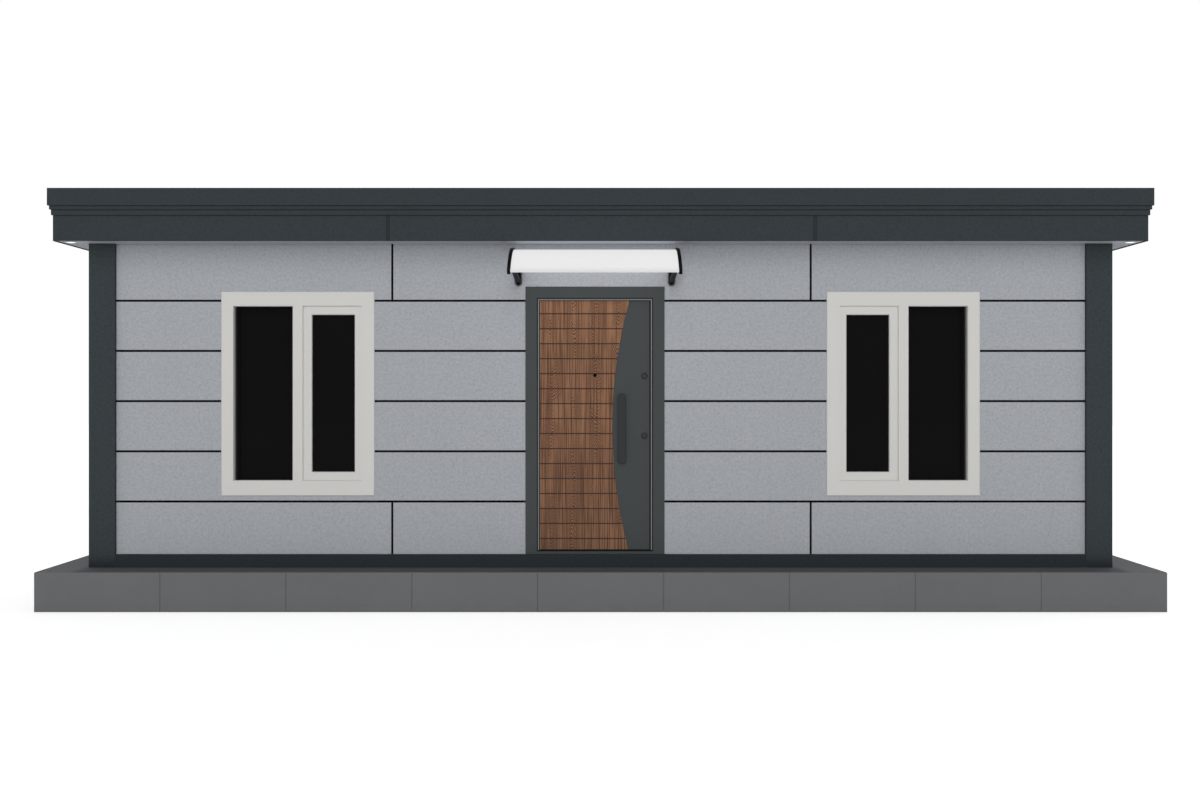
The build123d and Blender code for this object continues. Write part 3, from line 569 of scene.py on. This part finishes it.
def solid_boxes(node):
    """The boxes of a node's separate solids, from left to right."""
    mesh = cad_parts[node].data
    spans = []
    for face in mesh.polygons:
        points = [mesh.vertices[index].co for index in face.vertices]
        spans.append((min(point.x for point in points), max(point.x for point in points), points))
    spans.sort(key=lambda span: span[0])
    solids = []
    for low, high, points in spans:
        if solids and low <= solids[-1][0] + 0.0005:
            solids[-1][0] = max(solids[-1][0], high)
            solids[-1][1].extend(points)
        else:
            solids.append([high, list(points)])
    boxes = []
    for _, points in solids:
        lowest = Vector([min(point[index] for point in points) for index in range(3)])
        highest = Vector([max(point[index] for point in points) for index in range(3)])
        boxes.append((lowest, highest))
    return boxes


def start_piece(name):
    """The primitive just added, under its own name."""
    piece = bpy.context.object
    piece.name = name
    piece.data.name = name
    return piece


def clear_selection():
    """Leaves nothing selected."""
    bpy.ops.object.select_all(action="DESELECT")


def choose_piece(piece):
    """Makes one piece the whole selection."""
    clear_selection()
    piece.select_set(True)
    bpy.context.view_layer.objects.active = piece


def choose_faces(piece, test):
    """In edit mode, selects the faces whose centre and normal pass a test."""
    bpy.ops.mesh.select_all(action="DESELECT")
    shape = bmesh.from_edit_mesh(piece.data)
    for face in shape.faces:
        face.select_set(bool(test(face.calc_center_median(), face.normal)))
    bmesh.update_edit_mesh(piece.data)


def open_and_thicken(width, depth):
    """In edit mode, leaves a rim of a flat face that faces the front, and gives it its thickness."""
    bpy.ops.mesh.select_all(action="SELECT")
    bpy.ops.mesh.inset(thickness=width)
    bpy.ops.mesh.delete(type="FACE")
    bpy.ops.mesh.select_all(action="SELECT")
    bpy.ops.mesh.extrude_region_move(TRANSFORM_OT_translate={"value": (0, depth, 0)})


def settle(piece, material, body="house"):
    """Ends a piece: its place goes into its mesh, and it gets its finish, slot and body."""
    choose_piece(piece)
    bpy.ops.object.transform_apply(location=True, rotation=True, scale=True)
    bpy.ops.object.mode_set(mode="EDIT")
    bpy.ops.mesh.select_all(action="SELECT")
    bpy.ops.mesh.remove_doubles(threshold=0.00001)
    bpy.ops.mesh.normals_make_consistent(inside=False)
    bpy.ops.object.mode_set(mode="OBJECT")
    bpy.ops.object.shade_smooth_by_angle(angle=SMOOTH_ANGLE)
    piece.data.materials.clear()
    piece.data.materials.append(material)
    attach(piece, body)
    return piece


def twin(piece, name, move, body="house"):
    """Copies a settled piece, with a mesh of its own that a matrix moves, turns or mirrors."""
    copy = piece.copy()
    copy.data = piece.data.copy()
    copy.name = name
    copy.data.name = name
    copy.parent = None
    bpy.context.scene.collection.objects.link(copy)
    copy.data.transform(move)
    if move.is_negative:
        copy.data.flip_normals()
    copy.matrix_world = Matrix.Identity(4)
    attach(copy, body)


def facing_ring(name, low, high, face, width, depth, left=0, right=0, foot=0):
    """A flat frame that faces the front, from low to high, wider at its sides and thinner at its foot."""
    clear_selection()
    centre = ((low.x + high.x) / 2, face, (low.z + high.z) / 2)
    bpy.ops.mesh.primitive_plane_add(size=1, location=centre, rotation=TURNED_TO_FRONT)
    piece = start_piece(name)
    piece.scale = (high.x - low.x, high.z - low.z, 1)
    bpy.ops.object.transform_apply(location=False, rotation=True, scale=True)
    bpy.ops.object.mode_set(mode="EDIT")
    open_and_thicken(width, depth)
    bpy.ops.mesh.normals_make_consistent(inside=False)
    for side, extra in ((-1, left), (1, right)):
        choose_faces(piece, lambda place, normal: normal.x * side < -0.5 and place.x * side > 0)
        bpy.ops.transform.translate(value=(-side * extra, 0, 0))
    choose_faces(piece, lambda place, normal: normal.z < -0.5 and place.z < 0)
    bpy.ops.transform.translate(value=(0, 0, foot))
    bpy.ops.object.mode_set(mode="OBJECT")
    bevel = piece.modifiers.new("Round edge", "BEVEL")
    bevel.width = width / 5
    bevel.segments = 2
    bevel.limit_method = "ANGLE"
    bpy.ops.object.modifier_apply(modifier=bevel.name)
    return piece


def turned_piece(name, place, turn, radius, steps, sides=14):
    """A round piece drawn out of a disc in steps, each a rise and an inset as shares of the radius."""
    clear_selection()
    bpy.ops.mesh.primitive_circle_add(vertices=sides, radius=radius, fill_type="NGON", location=place)
    piece = start_piece(name)
    bpy.ops.object.mode_set(mode="EDIT")
    bpy.ops.mesh.select_all(action="SELECT")
    for rise, inset in steps:
        bpy.ops.mesh.extrude_region_move(TRANSFORM_OT_translate={"value": (0, 0, radius * rise)})
        if inset:
            bpy.ops.mesh.inset(thickness=radius * inset)
    bpy.ops.object.mode_set(mode="OBJECT")
    piece.rotation_euler = turn
    return piece


def long_board(name, low, high, edge, facing=UP):
    """A board between two corners, with the edges eased round the face that looks one way."""
    clear_selection()
    centre = [(low[index] + high[index]) / 2 for index in range(3)]
    bpy.ops.mesh.primitive_cube_add(size=1, location=centre)
    piece = start_piece(name)
    piece.scale = [high[index] - low[index] for index in range(3)]
    bpy.ops.object.transform_apply(location=False, rotation=False, scale=True)
    bpy.ops.object.mode_set(mode="EDIT")
    choose_faces(piece, lambda place, normal: normal.dot(Vector(facing)) > 0.9)
    bpy.ops.mesh.bevel(offset=edge, segments=2, affect="EDGES")
    bpy.ops.object.mode_set(mode="OBJECT")
    return piece


class HOUSE_OT_plinth(Operator):
    """Gives the plinth its concrete"""

    bl_idname = "house.plinth"
    bl_label = "Plinth"

    def execute(self, context):
        finish(concrete_material(context.scene.house_colours.plinth), "plinth")
        return {"FINISHED"}


class HOUSE_OT_steelwork(Operator):
    """Paints the posts and rails, and gives joists and beams their zinc coat"""

    bl_idname = "house.steelwork"
    bl_label = "Steelwork"

    def execute(self, context):
        colours = context.scene.house_colours
        coat = {"size": 0.004, "depth": 0.0004, "roughness": 0.5, "speckle": 0.5, "cloud": 0.02, "fleck": 0.2}
        finish(coated_sheet("Post paint", colours.posts, specular=0.12, foot=0.42, **coat), "corner_posts")
        finish(coated_sheet("Rail paint", colours.rails, specular=0.1, **coat), "floor_rails")
        zinc = metal_material("Zinc coat", paint(196, 199, 201), 0.45, 0.2)
        finish(zinc, "floor_joists", "roof_beams_long", "roof_beams_short")
        return {"FINISHED"}


class HOUSE_OT_boards(Operator):
    """Finishes the outside boards and the strips in their joints"""

    bl_idname = "house.boards"
    bl_label = "Boards"

    def execute(self, context):
        colours = context.scene.house_colours
        size = context.scene.house_sizes.emboss
        coat = {"depth": 0.0011, "roughness": 0.62, "speckle": 0.42, "specular": 0.25, "fleck": 0.12}
        face = coated_sheet("Embossed boards", colours.boards, size, **coat)
        finish(face, "front_boards", "back_boards", "side_boards")
        strip = coated_sheet("Joint strips", colours.strips, 0.003, 0.0002, 0.6, 0.2, 0.01, specular=0.06)
        finish(strip, "joint_strips")
        return {"FINISHED"}


class HOUSE_OT_room(Operator):
    """Lines the room, lays its floor and adds the skirting"""

    bl_idname = "house.room"
    bl_label = "Room"

    def execute(self, context):
        colours = context.scene.house_colours
        height = context.scene.house_sizes.skirting
        lining = lining_material(colours.inside)
        finish(lining, "back_wall", "left_wall", "right_wall", "front_wall_left", "front_wall_right")
        finish(lining, "front_wall_over_door", "ceiling_panel")
        finish(floor_material(colours.floor), "floor_deck")
        low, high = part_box("floor_deck")
        door_low, door_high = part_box("door_frame")
        white = moulded_material("Skirting", paint(222, 222, 218), 0.4)
        thick = 0.012
        eased_edge = 0.004
        top = high.z + height
        runs = {
            "skirting_back": ((low.x, high.y - thick, high.z), (high.x, high.y, top)),
            "skirting_left": ((low.x, low.y, high.z), (low.x + thick, high.y - thick, top)),
            "skirting_right": ((high.x - thick, low.y, high.z), (high.x, high.y - thick, top)),
            "skirting_front_left": ((low.x + thick, low.y, high.z), (door_low.x, low.y + thick, top)),
            "skirting_front_right": ((door_high.x, low.y, high.z), (high.x - thick, low.y + thick, top)),
        }
        for name, (start, end) in runs.items():
            settle(long_board(name, start, end, eased_edge), white)
        return {"FINISHED"}


class HOUSE_OT_windows(Operator):
    """Finishes the windows, and fits beads and gaskets round their panes"""

    bl_idname = "house.windows"
    bl_label = "Windows"

    def execute(self, context):
        colours = context.scene.house_colours
        sizes = context.scene.house_sizes
        plastic = moulded_material("Window plastic", colours.windows, 0.38)
        finish(plastic, "window_frames", "window_sashes")
        finish(glass_material(colours.glass), "window_glass")
        finish(moulded_material("White handle", paint(228, 228, 224), 0.3), "window_handles")
        rubber = rubber_material()
        fixed_pane, sash_pane, far_sash_pane = solid_boxes("window_glass")[:3]

        low, high = sash_pane
        thick = 0.003
        ring = facing_ring("gasket_sash_left", low, high, low.y - thick, sizes.gasket, thick)
        settle(ring, rubber)
        between = far_sash_pane[0].x - low.x
        twin(ring, "gasket_sash_right", Matrix.Translation((between, 0, 0)))

        # The fixed pane's beads: wide at the outer side, narrow at the mullion, head and foot
        low, high = fixed_pane
        head = 0.004
        outer = sizes.bead
        inner = sizes.bead / 4
        pane_recess = 0.07
        thick = 0.012
        face = low.y - pane_recess
        ring = facing_ring("beads_left", low, high, face, head, thick, left=outer - head, right=inner - head)
        settle(ring, plastic)
        twin(ring, "beads_right", MIRRORED)
        start = low + Vector((outer, 0, head))
        end = high - Vector((inner, 0, head))
        set_back = 0.003
        ring = facing_ring("gasket_fixed_left", start, end, face + set_back, 0.005, thick - set_back)
        settle(ring, rubber)
        twin(ring, "gasket_fixed_right", MIRRORED)

        low, high = solid_boxes("window_sashes")[0]
        gap = Vector((0.002, 0, 0.002))
        # A seal round each sash, darker than the frame, which also gives painted shade in the gap between
        # sash and frame
        ring = facing_ring("sash_seal_left", low - gap, high + gap, low.y + 0.0015, 0.002, 0.006)
        seal_and_gap_shade = moulded_material("Sash seal and gap shade", paint(168, 167, 164), 0.6, specular=0.2)
        settle(ring, seal_and_gap_shade)
        twin(ring, "sash_seal_right", MIRRORED)
        return {"FINISHED"}


class HOUSE_OT_door(Operator):
    """Finishes the door set: frame, leaf, walnut facing, handle and locks"""

    bl_idname = "house.door"
    bl_label = "Door"

    def execute(self, context):
        colours = context.scene.house_colours
        coat = coated_sheet("Door coat", colours.door, 0.0016, 0.00012, 0.48, 0.1, 0.008, 0.25)
        finish(coat, "door_frame", "door_leaf", "door_steel_panel")
        finish(walnut_material(colours.wood_light, colours.wood_dark), "door_wood_panel")
        finish(moulded_material("Grey seal", paint(120, 122, 122), 0.7, specular=0.2), "door_seal")
        dark = coated_sheet("Handle coat", colours.handles, 0.0012, 0.00008, 0.4, 0.1, 0.008, 0.35)
        finish(dark, "door_pull_handle", "door_fittings", "door_inner_handle")
        finish(dark, "hinges_frame_side", "hinges_leaf_side")
        self.rings()
        peephole, locks = solid_boxes("door_fittings")
        self.peephole_lens(*peephole)
        self.key_discs(*locks)
        return {"FINISHED"}

    def rings(self):
        """The dark line round the casing's inner edge, a painted shadow gap, and the rubber gasket round the
        leaf's facings, which also gives painted shade in the gap under the casing's lip.
        """
        low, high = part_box("door_seal")
        proud = 0.0008
        out = Vector((0.0085, 0, 0.0085))
        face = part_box("door_frame")[0].y - proud
        # A black ring outside the seal: painted shadow gap round the casing's inner edge
        line = facing_ring("casing_line", low - out, high + out, face, 0.006, proud, foot=0.003)
        black = moulded_material("Casing shadow line", paint(14, 15, 15), 0.7, specular=0.05)
        settle(line, black)
        low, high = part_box("door_wood_panel")
        steel_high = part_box("door_steel_panel")[1]
        thick = 0.003
        out = Vector((0.0105, 0, 0.0105))
        corner = Vector((steel_high.x, high.y, high.z)) + out
        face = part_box("door_leaf")[0].y - thick
        # A dark rubber gasket round the facings, which also gives painted shade in the gap under the casing's
        # lip
        ring = facing_ring("leaf_gasket", low - out, corner, face, 0.01, thick, foot=0.005)
        settle(ring, rubber_material(), "door")

    def peephole_lens(self, low, high):
        """A domed black lens in the peephole's ring."""
        centre = (low + high) / 2
        radius = (high.x - low.x) / 2 + 0.001
        dome = ((0.12, 0.1), (0.14, 0.2), (0.1, 0.25), (0.04, 0.0))
        lens = turned_piece("peephole_lens", (centre.x, low.y, centre.z), TURNED_TO_FRONT, radius, dome, 20)
        black = moulded_material("Black lens", paint(3, 3, 3), 0.3, specular=0.05)
        settle(lens, black, "door")

    def key_discs(self, low, high):
        """A small hollowed disc in the middle of each lock cover."""
        cover_radius = 0.024
        flap = ((0.14, 0.12), (0.1, 0.3), (-0.12, 0.0))
        spot = ((low.x + high.x) / 2, low.y, low.z + cover_radius)
        key = turned_piece("key_disc_low", spot, TURNED_TO_FRONT, 0.0075, flap, 18)
        steel = coated_sheet("Key disc", paint(58, 60, 61), 0.0012, 0.00008, 0.45, 0.1)
        settle(key, steel, "door")
        rise = high.z - low.z - 2 * cover_radius
        twin(key, "key_disc_high", Matrix.Translation((0, 0, rise)), "door")


class HOUSE_OT_canopy(Operator):
    """Finishes the canopy over the door"""

    bl_idname = "house.canopy"
    bl_label = "Canopy"

    def execute(self, context):
        colours = context.scene.house_colours
        finish(canopy_material(colours.canopy), "canopy_sheet")
        black = moulded_material("Black moulding", colours.moulded, 0.45, 0.002, 0.00012, specular=0.06)
        finish(black, "canopy_ribs", "canopy_brackets")
        finish(moulded_material("Coated rail", paint(240, 240, 241), 0.5, specular=0.2), "canopy_rails")
        # A grey line on the black brackets: painted highlight on the plate's rim
        self.bracket_rim_highlights(moulded_material("Bracket rim highlight", paint(104, 107, 108), 0.5, specular=0.2))
        return {"FINISHED"}

    def bracket_rim_highlights(self, painted_highlight):
        """A rounded pale line on each bracket's plate, a painted highlight on its rim, made of a disc that is
        drawn out upwards and opened.
        """
        low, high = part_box("canopy_brackets")
        plate_radius = 0.0285
        plate = 0.012
        rim = 0.003
        straight = 0.1
        width = 0.0045
        thick = 0.0015
        clear_selection()
        bpy.ops.mesh.primitive_circle_add(
            vertices=32,
            radius=plate_radius - rim,
            fill_type="NGON",
            location=(low.x + plate_radius, high.y - plate - thick, low.z + plate_radius),
            rotation=TURNED_TO_FRONT,
        )
        piece = start_piece("bracket_trim_left")
        bpy.ops.object.transform_apply(location=False, rotation=True, scale=True)
        bpy.ops.object.mode_set(mode="EDIT")
        shape = bmesh.from_edit_mesh(piece.data)
        for vertex in shape.verts:
            vertex.select_set(vertex.co.z > 0.001)
        bmesh.update_edit_mesh(piece.data)
        bpy.ops.transform.translate(value=(0, 0, straight))
        open_and_thicken(width, thick)
        bpy.ops.object.mode_set(mode="OBJECT")
        settle(piece, painted_highlight)
        between = high.x - low.x - 2 * plate_radius
        twin(piece, "bracket_trim_right", Matrix.Translation((between, 0, 0)))


class HOUSE_OT_roof(Operator):
    """Finishes the roof panels and fixes them with rows of screws"""

    bl_idname = "house.roof"
    bl_label = "Roof"

    def execute(self, context):
        colours = context.scene.house_colours
        sizes = context.scene.house_sizes
        coat = coated_sheet("Roof coat", colours.roof, 0.003, 0.0002, 0.45, 0.3, cloud=0.02, specular=0.4)
        finish(coat, "roof_panel_front", "roof_panel_back", "roof_ridge_cap")
        steel = metal_material("Screw steel", paint(190, 192, 194), 0.35)
        low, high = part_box("roof_panel_front")
        fall = 0.02
        pitch = 0.25
        bare_ends = 0.14
        ribs = int((high.x - low.x - bare_ends) / pitch) + 1
        from_eaves = 0.12
        from_ridge = 0.24
        first_x = -(ribs - 1) / 2 * pitch
        first_y = low.y + from_eaves
        last_y = -from_ridge
        step = (last_y - first_y) / (sizes.screw_rows - 1)
        place = (first_x, first_y, high.z + fall * first_y)
        washer_and_head = ((0.1, 0.36), (0.26, 0.1), (0.14, 0.16), (-0.16, 0.0))
        screw = turned_piece("roof_screws_front", place, (fall, 0, 0), sizes.screw, washer_and_head)
        choose_piece(screw)
        bpy.ops.object.transform_apply(location=True, rotation=True, scale=True)
        repeats = {"Along": (ribs, (pitch, 0, 0)), "Up": (sizes.screw_rows, (0, step, fall * step))}
        for name, (count, shift) in repeats.items():
            rows = screw.modifiers.new(name, "ARRAY")
            rows.count = count
            rows.use_relative_offset = False
            rows.use_constant_offset = True
            rows.constant_offset_displace = shift
            bpy.ops.object.modifier_apply(modifier=rows.name)
        settle(screw, steel)
        twin(screw, "roof_screws_back", HALF_TURN)
        return {"FINISHED"}


class HOUSE_OT_eaves(Operator):
    """Finishes the fascias, the soffit and its lights, fills the fascias' seams with darker strips and puts a
    black strip under each side fascia, both painted shade
    """

    bl_idname = "house.eaves"
    bl_label = "Eaves"

    def execute(self, context):
        colours = context.scene.house_colours
        panel = coated_sheet(
            "Fascia panels", colours.fascia, 0.005, 0.0005, 0.5, 0.3, cloud=0.02, specular=0.12, fleck=0.15
        )
        finish(panel, "fascia_front", "fascia_back", "fascia_left", "fascia_right")
        # A darker copy of the fascia coat for the seams: painted shade
        seam_shade_coat = coated_sheet(
            "Seam shade strips", shade(colours.fascia, 0.72), 0.005, 0.0004, 0.5, 0.4, cloud=0.02, specular=0.1
        )
        self.seam_shade_strips(seam_shade_coat)
        # Black strips under the side fascias: painted shade on their undersides
        self.side_shade_strips(moulded_material("Eave shade strip", paint(12, 13, 14), 0.6, specular=0.05))
        soffit = coated_sheet("Soffit sheet", colours.soffit, 0.004, 0.0002, 0.6, 0.15, 0.01, 0.25)
        finish(soffit, "soffit")
        finish(moulded_material("Light trim", paint(205, 205, 200), 0.35), "downlights")
        finish(lens_material(), "downlight_lenses")
        return {"FINISHED"}

    def seam_shade_strips(self, coat):
        """A darker strip in each seam of the long fascias' lower band: painted shade in the seam."""
        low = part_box("fascia_front")[0]
        cornice_reach = 0.034
        seam_depth = 0.006
        half_width = 0.0115
        band_height = 0.1925
        play = 0.0005
        thick = 0.004
        floor = low.y + cornice_reach + seam_depth
        for number, place in enumerate(SEAM_PLACES, 1):
            start = (place - half_width, floor - thick, low.z + play)
            end = (place + half_width, floor, low.z + band_height)
            strip = long_board("seam_front_%d" % number, start, end, 0.001, FRONT)
            settle(strip, coat)
            twin(strip, "seam_back_%d" % number, HALF_TURN)

    def side_shade_strips(self, black):
        """A thin black strip under each side fascia's lower edge: painted shade on its underside."""
        low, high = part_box("fascia_left")
        cornice_reach = 0.035
        corner_reach = 0.036
        thick = 0.0025
        start = (low.x + cornice_reach, low.y + corner_reach, low.z - thick)
        end = (high.x - 0.002, high.y - corner_reach, low.z)
        trim = settle(long_board("eave_trim_left", start, end, 0.0008, DOWN), black)
        twin(trim, "eave_trim_right", MIRRORED)


class HOUSE_OT_stage(Operator):
    """Sets the floor, the light all round, the lamps and the camera"""

    bl_idname = "house.stage"
    bl_label = "Stage"

    def execute(self, context):
        sizes = context.scene.house_sizes
        clear_selection()
        under_plinth = (0, 0, -0.0005)
        bpy.ops.mesh.primitive_circle_add(
            vertices=96, radius=sizes.stage, fill_type="NGON", location=under_plinth
        )
        ground = start_piece("studio_floor")
        ground.data.materials.append(self.ground_material())
        self.light_all_round(context, sizes.ambient)
        for name, (share, direction, spread) in LAMPS.items():
            self.lamp(name, sizes.key * share, Vector(direction), spread)
        self.camera(context)
        context.scene.view_settings.view_transform = "Standard"
        return {"FINISHED"}

    def ground_material(self):
        """A white floor that keeps shadows, and looks as bright as the background to the camera."""
        material = bpy.data.materials.new("Studio floor")
        nodes = emptied(material)
        matt = nodes.add("BsdfDiffuse", Color=(0.9, 0.9, 0.9))
        glow = nodes.add("Emission", Color=(1, 1, 1), Strength=nodes.times(nodes.seen_directly(), 0.5))
        both = nodes.add("AddShader")
        nodes.fill(both.inputs[0], matt.outputs[0])
        nodes.fill(both.inputs[1], glow.outputs[0])
        nodes.fill(nodes.add("OutputMaterial").inputs["Surface"], both.outputs[0])
        return material

    def light_all_round(self, context, strength):
        """An even light from everywhere, seen as plain white."""
        world = bpy.data.worlds.new("Plain studio")
        context.scene.world = world
        nodes = emptied(world)
        level = nodes.plus(strength, nodes.times(nodes.seen_directly(), 1.0 - strength))
        back = nodes.add("Background", Color=(1, 1, 1), Strength=level)
        nodes.fill(nodes.add("OutputWorld").inputs["Surface"], back.outputs[0])

    def lamp(self, name, strength, direction, spread):
        """A soft sun lamp that shines from one direction."""
        lamp = bpy.data.lights.new(name, "SUN")
        lamp.energy = strength
        lamp.angle = math.radians(spread)
        holder = bpy.data.objects.new(name, lamp)
        bpy.context.scene.collection.objects.link(holder)
        holder.location = direction * 10
        holder.rotation_euler = direction.to_track_quat("Z", "Y").to_euler()
        holder.visible_glossy = False

    def camera(self, context):
        """The photograph's view: level, square to the front wall and at a standing person's eye height."""
        lens = bpy.data.cameras.new("front_view")
        lens.lens = CAMERA_LENS
        lens.sensor_width = 36
        lens.sensor_fit = "HORIZONTAL"
        lens.shift_x, lens.shift_y = CAMERA_SHIFT
        lens.clip_end = 500
        holder = bpy.data.objects.new("front_view", lens)
        context.scene.collection.objects.link(holder)
        holder.location = CAMERA_PLACE
        holder.rotation_euler = TURNED_TO_FRONT
        context.scene.camera = holder


class HOUSE_PT_panel(Panel):
    """Lists the colours, sizes and steps"""

    bl_idname = "HOUSE_PT_panel"
    bl_label = "Container house"
    bl_space_type = "VIEW_3D"
    bl_region_type = "UI"
    bl_category = "House"

    def draw(self, context):
        for group in (context.scene.house_colours, context.scene.house_sizes):
            box = self.layout.box()
            for name in group.__annotations__:
                box.prop(group, name)
        for step in STEPS:
            self.layout.operator(step.bl_idname)


STEPS = (
    HOUSE_OT_plinth,
    HOUSE_OT_steelwork,
    HOUSE_OT_boards,
    HOUSE_OT_room,
    HOUSE_OT_windows,
    HOUSE_OT_door,
    HOUSE_OT_canopy,
    HOUSE_OT_roof,
    HOUSE_OT_eaves,
    HOUSE_OT_stage,
)
CLASSES = (HouseColours, HouseSizes, *STEPS, HOUSE_PT_panel)
EFFECTS = (mottle_effect, emboss_effect, streak_effect, dust_effect, drawn_line_effect, walnut_effect)


def register():
    """Adds the classes and the settings to the scene."""
    for kind in CLASSES:
        bpy.utils.register_class(kind)
    bpy.types.Scene.house_colours = PointerProperty(type=HouseColours)
    bpy.types.Scene.house_sizes = PointerProperty(type=HouseSizes)


def unregister():
    """Takes the settings and the classes away again."""
    del bpy.types.Scene.house_sizes
    del bpy.types.Scene.house_colours
    for kind in reversed(CLASSES):
        bpy.utils.unregister_class(kind)


def main():
    """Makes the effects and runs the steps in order."""
    register()
    for build in EFFECTS:
        build()
    bpy.ops.house.plinth()
    bpy.ops.house.steelwork()
    bpy.ops.house.boards()
    bpy.ops.house.room()
    bpy.ops.house.windows()
    bpy.ops.house.door()
    bpy.ops.house.canopy()
    bpy.ops.house.roof()
    bpy.ops.house.eaves()
    bpy.ops.house.stage()


if __name__ == "__main__":
    main()
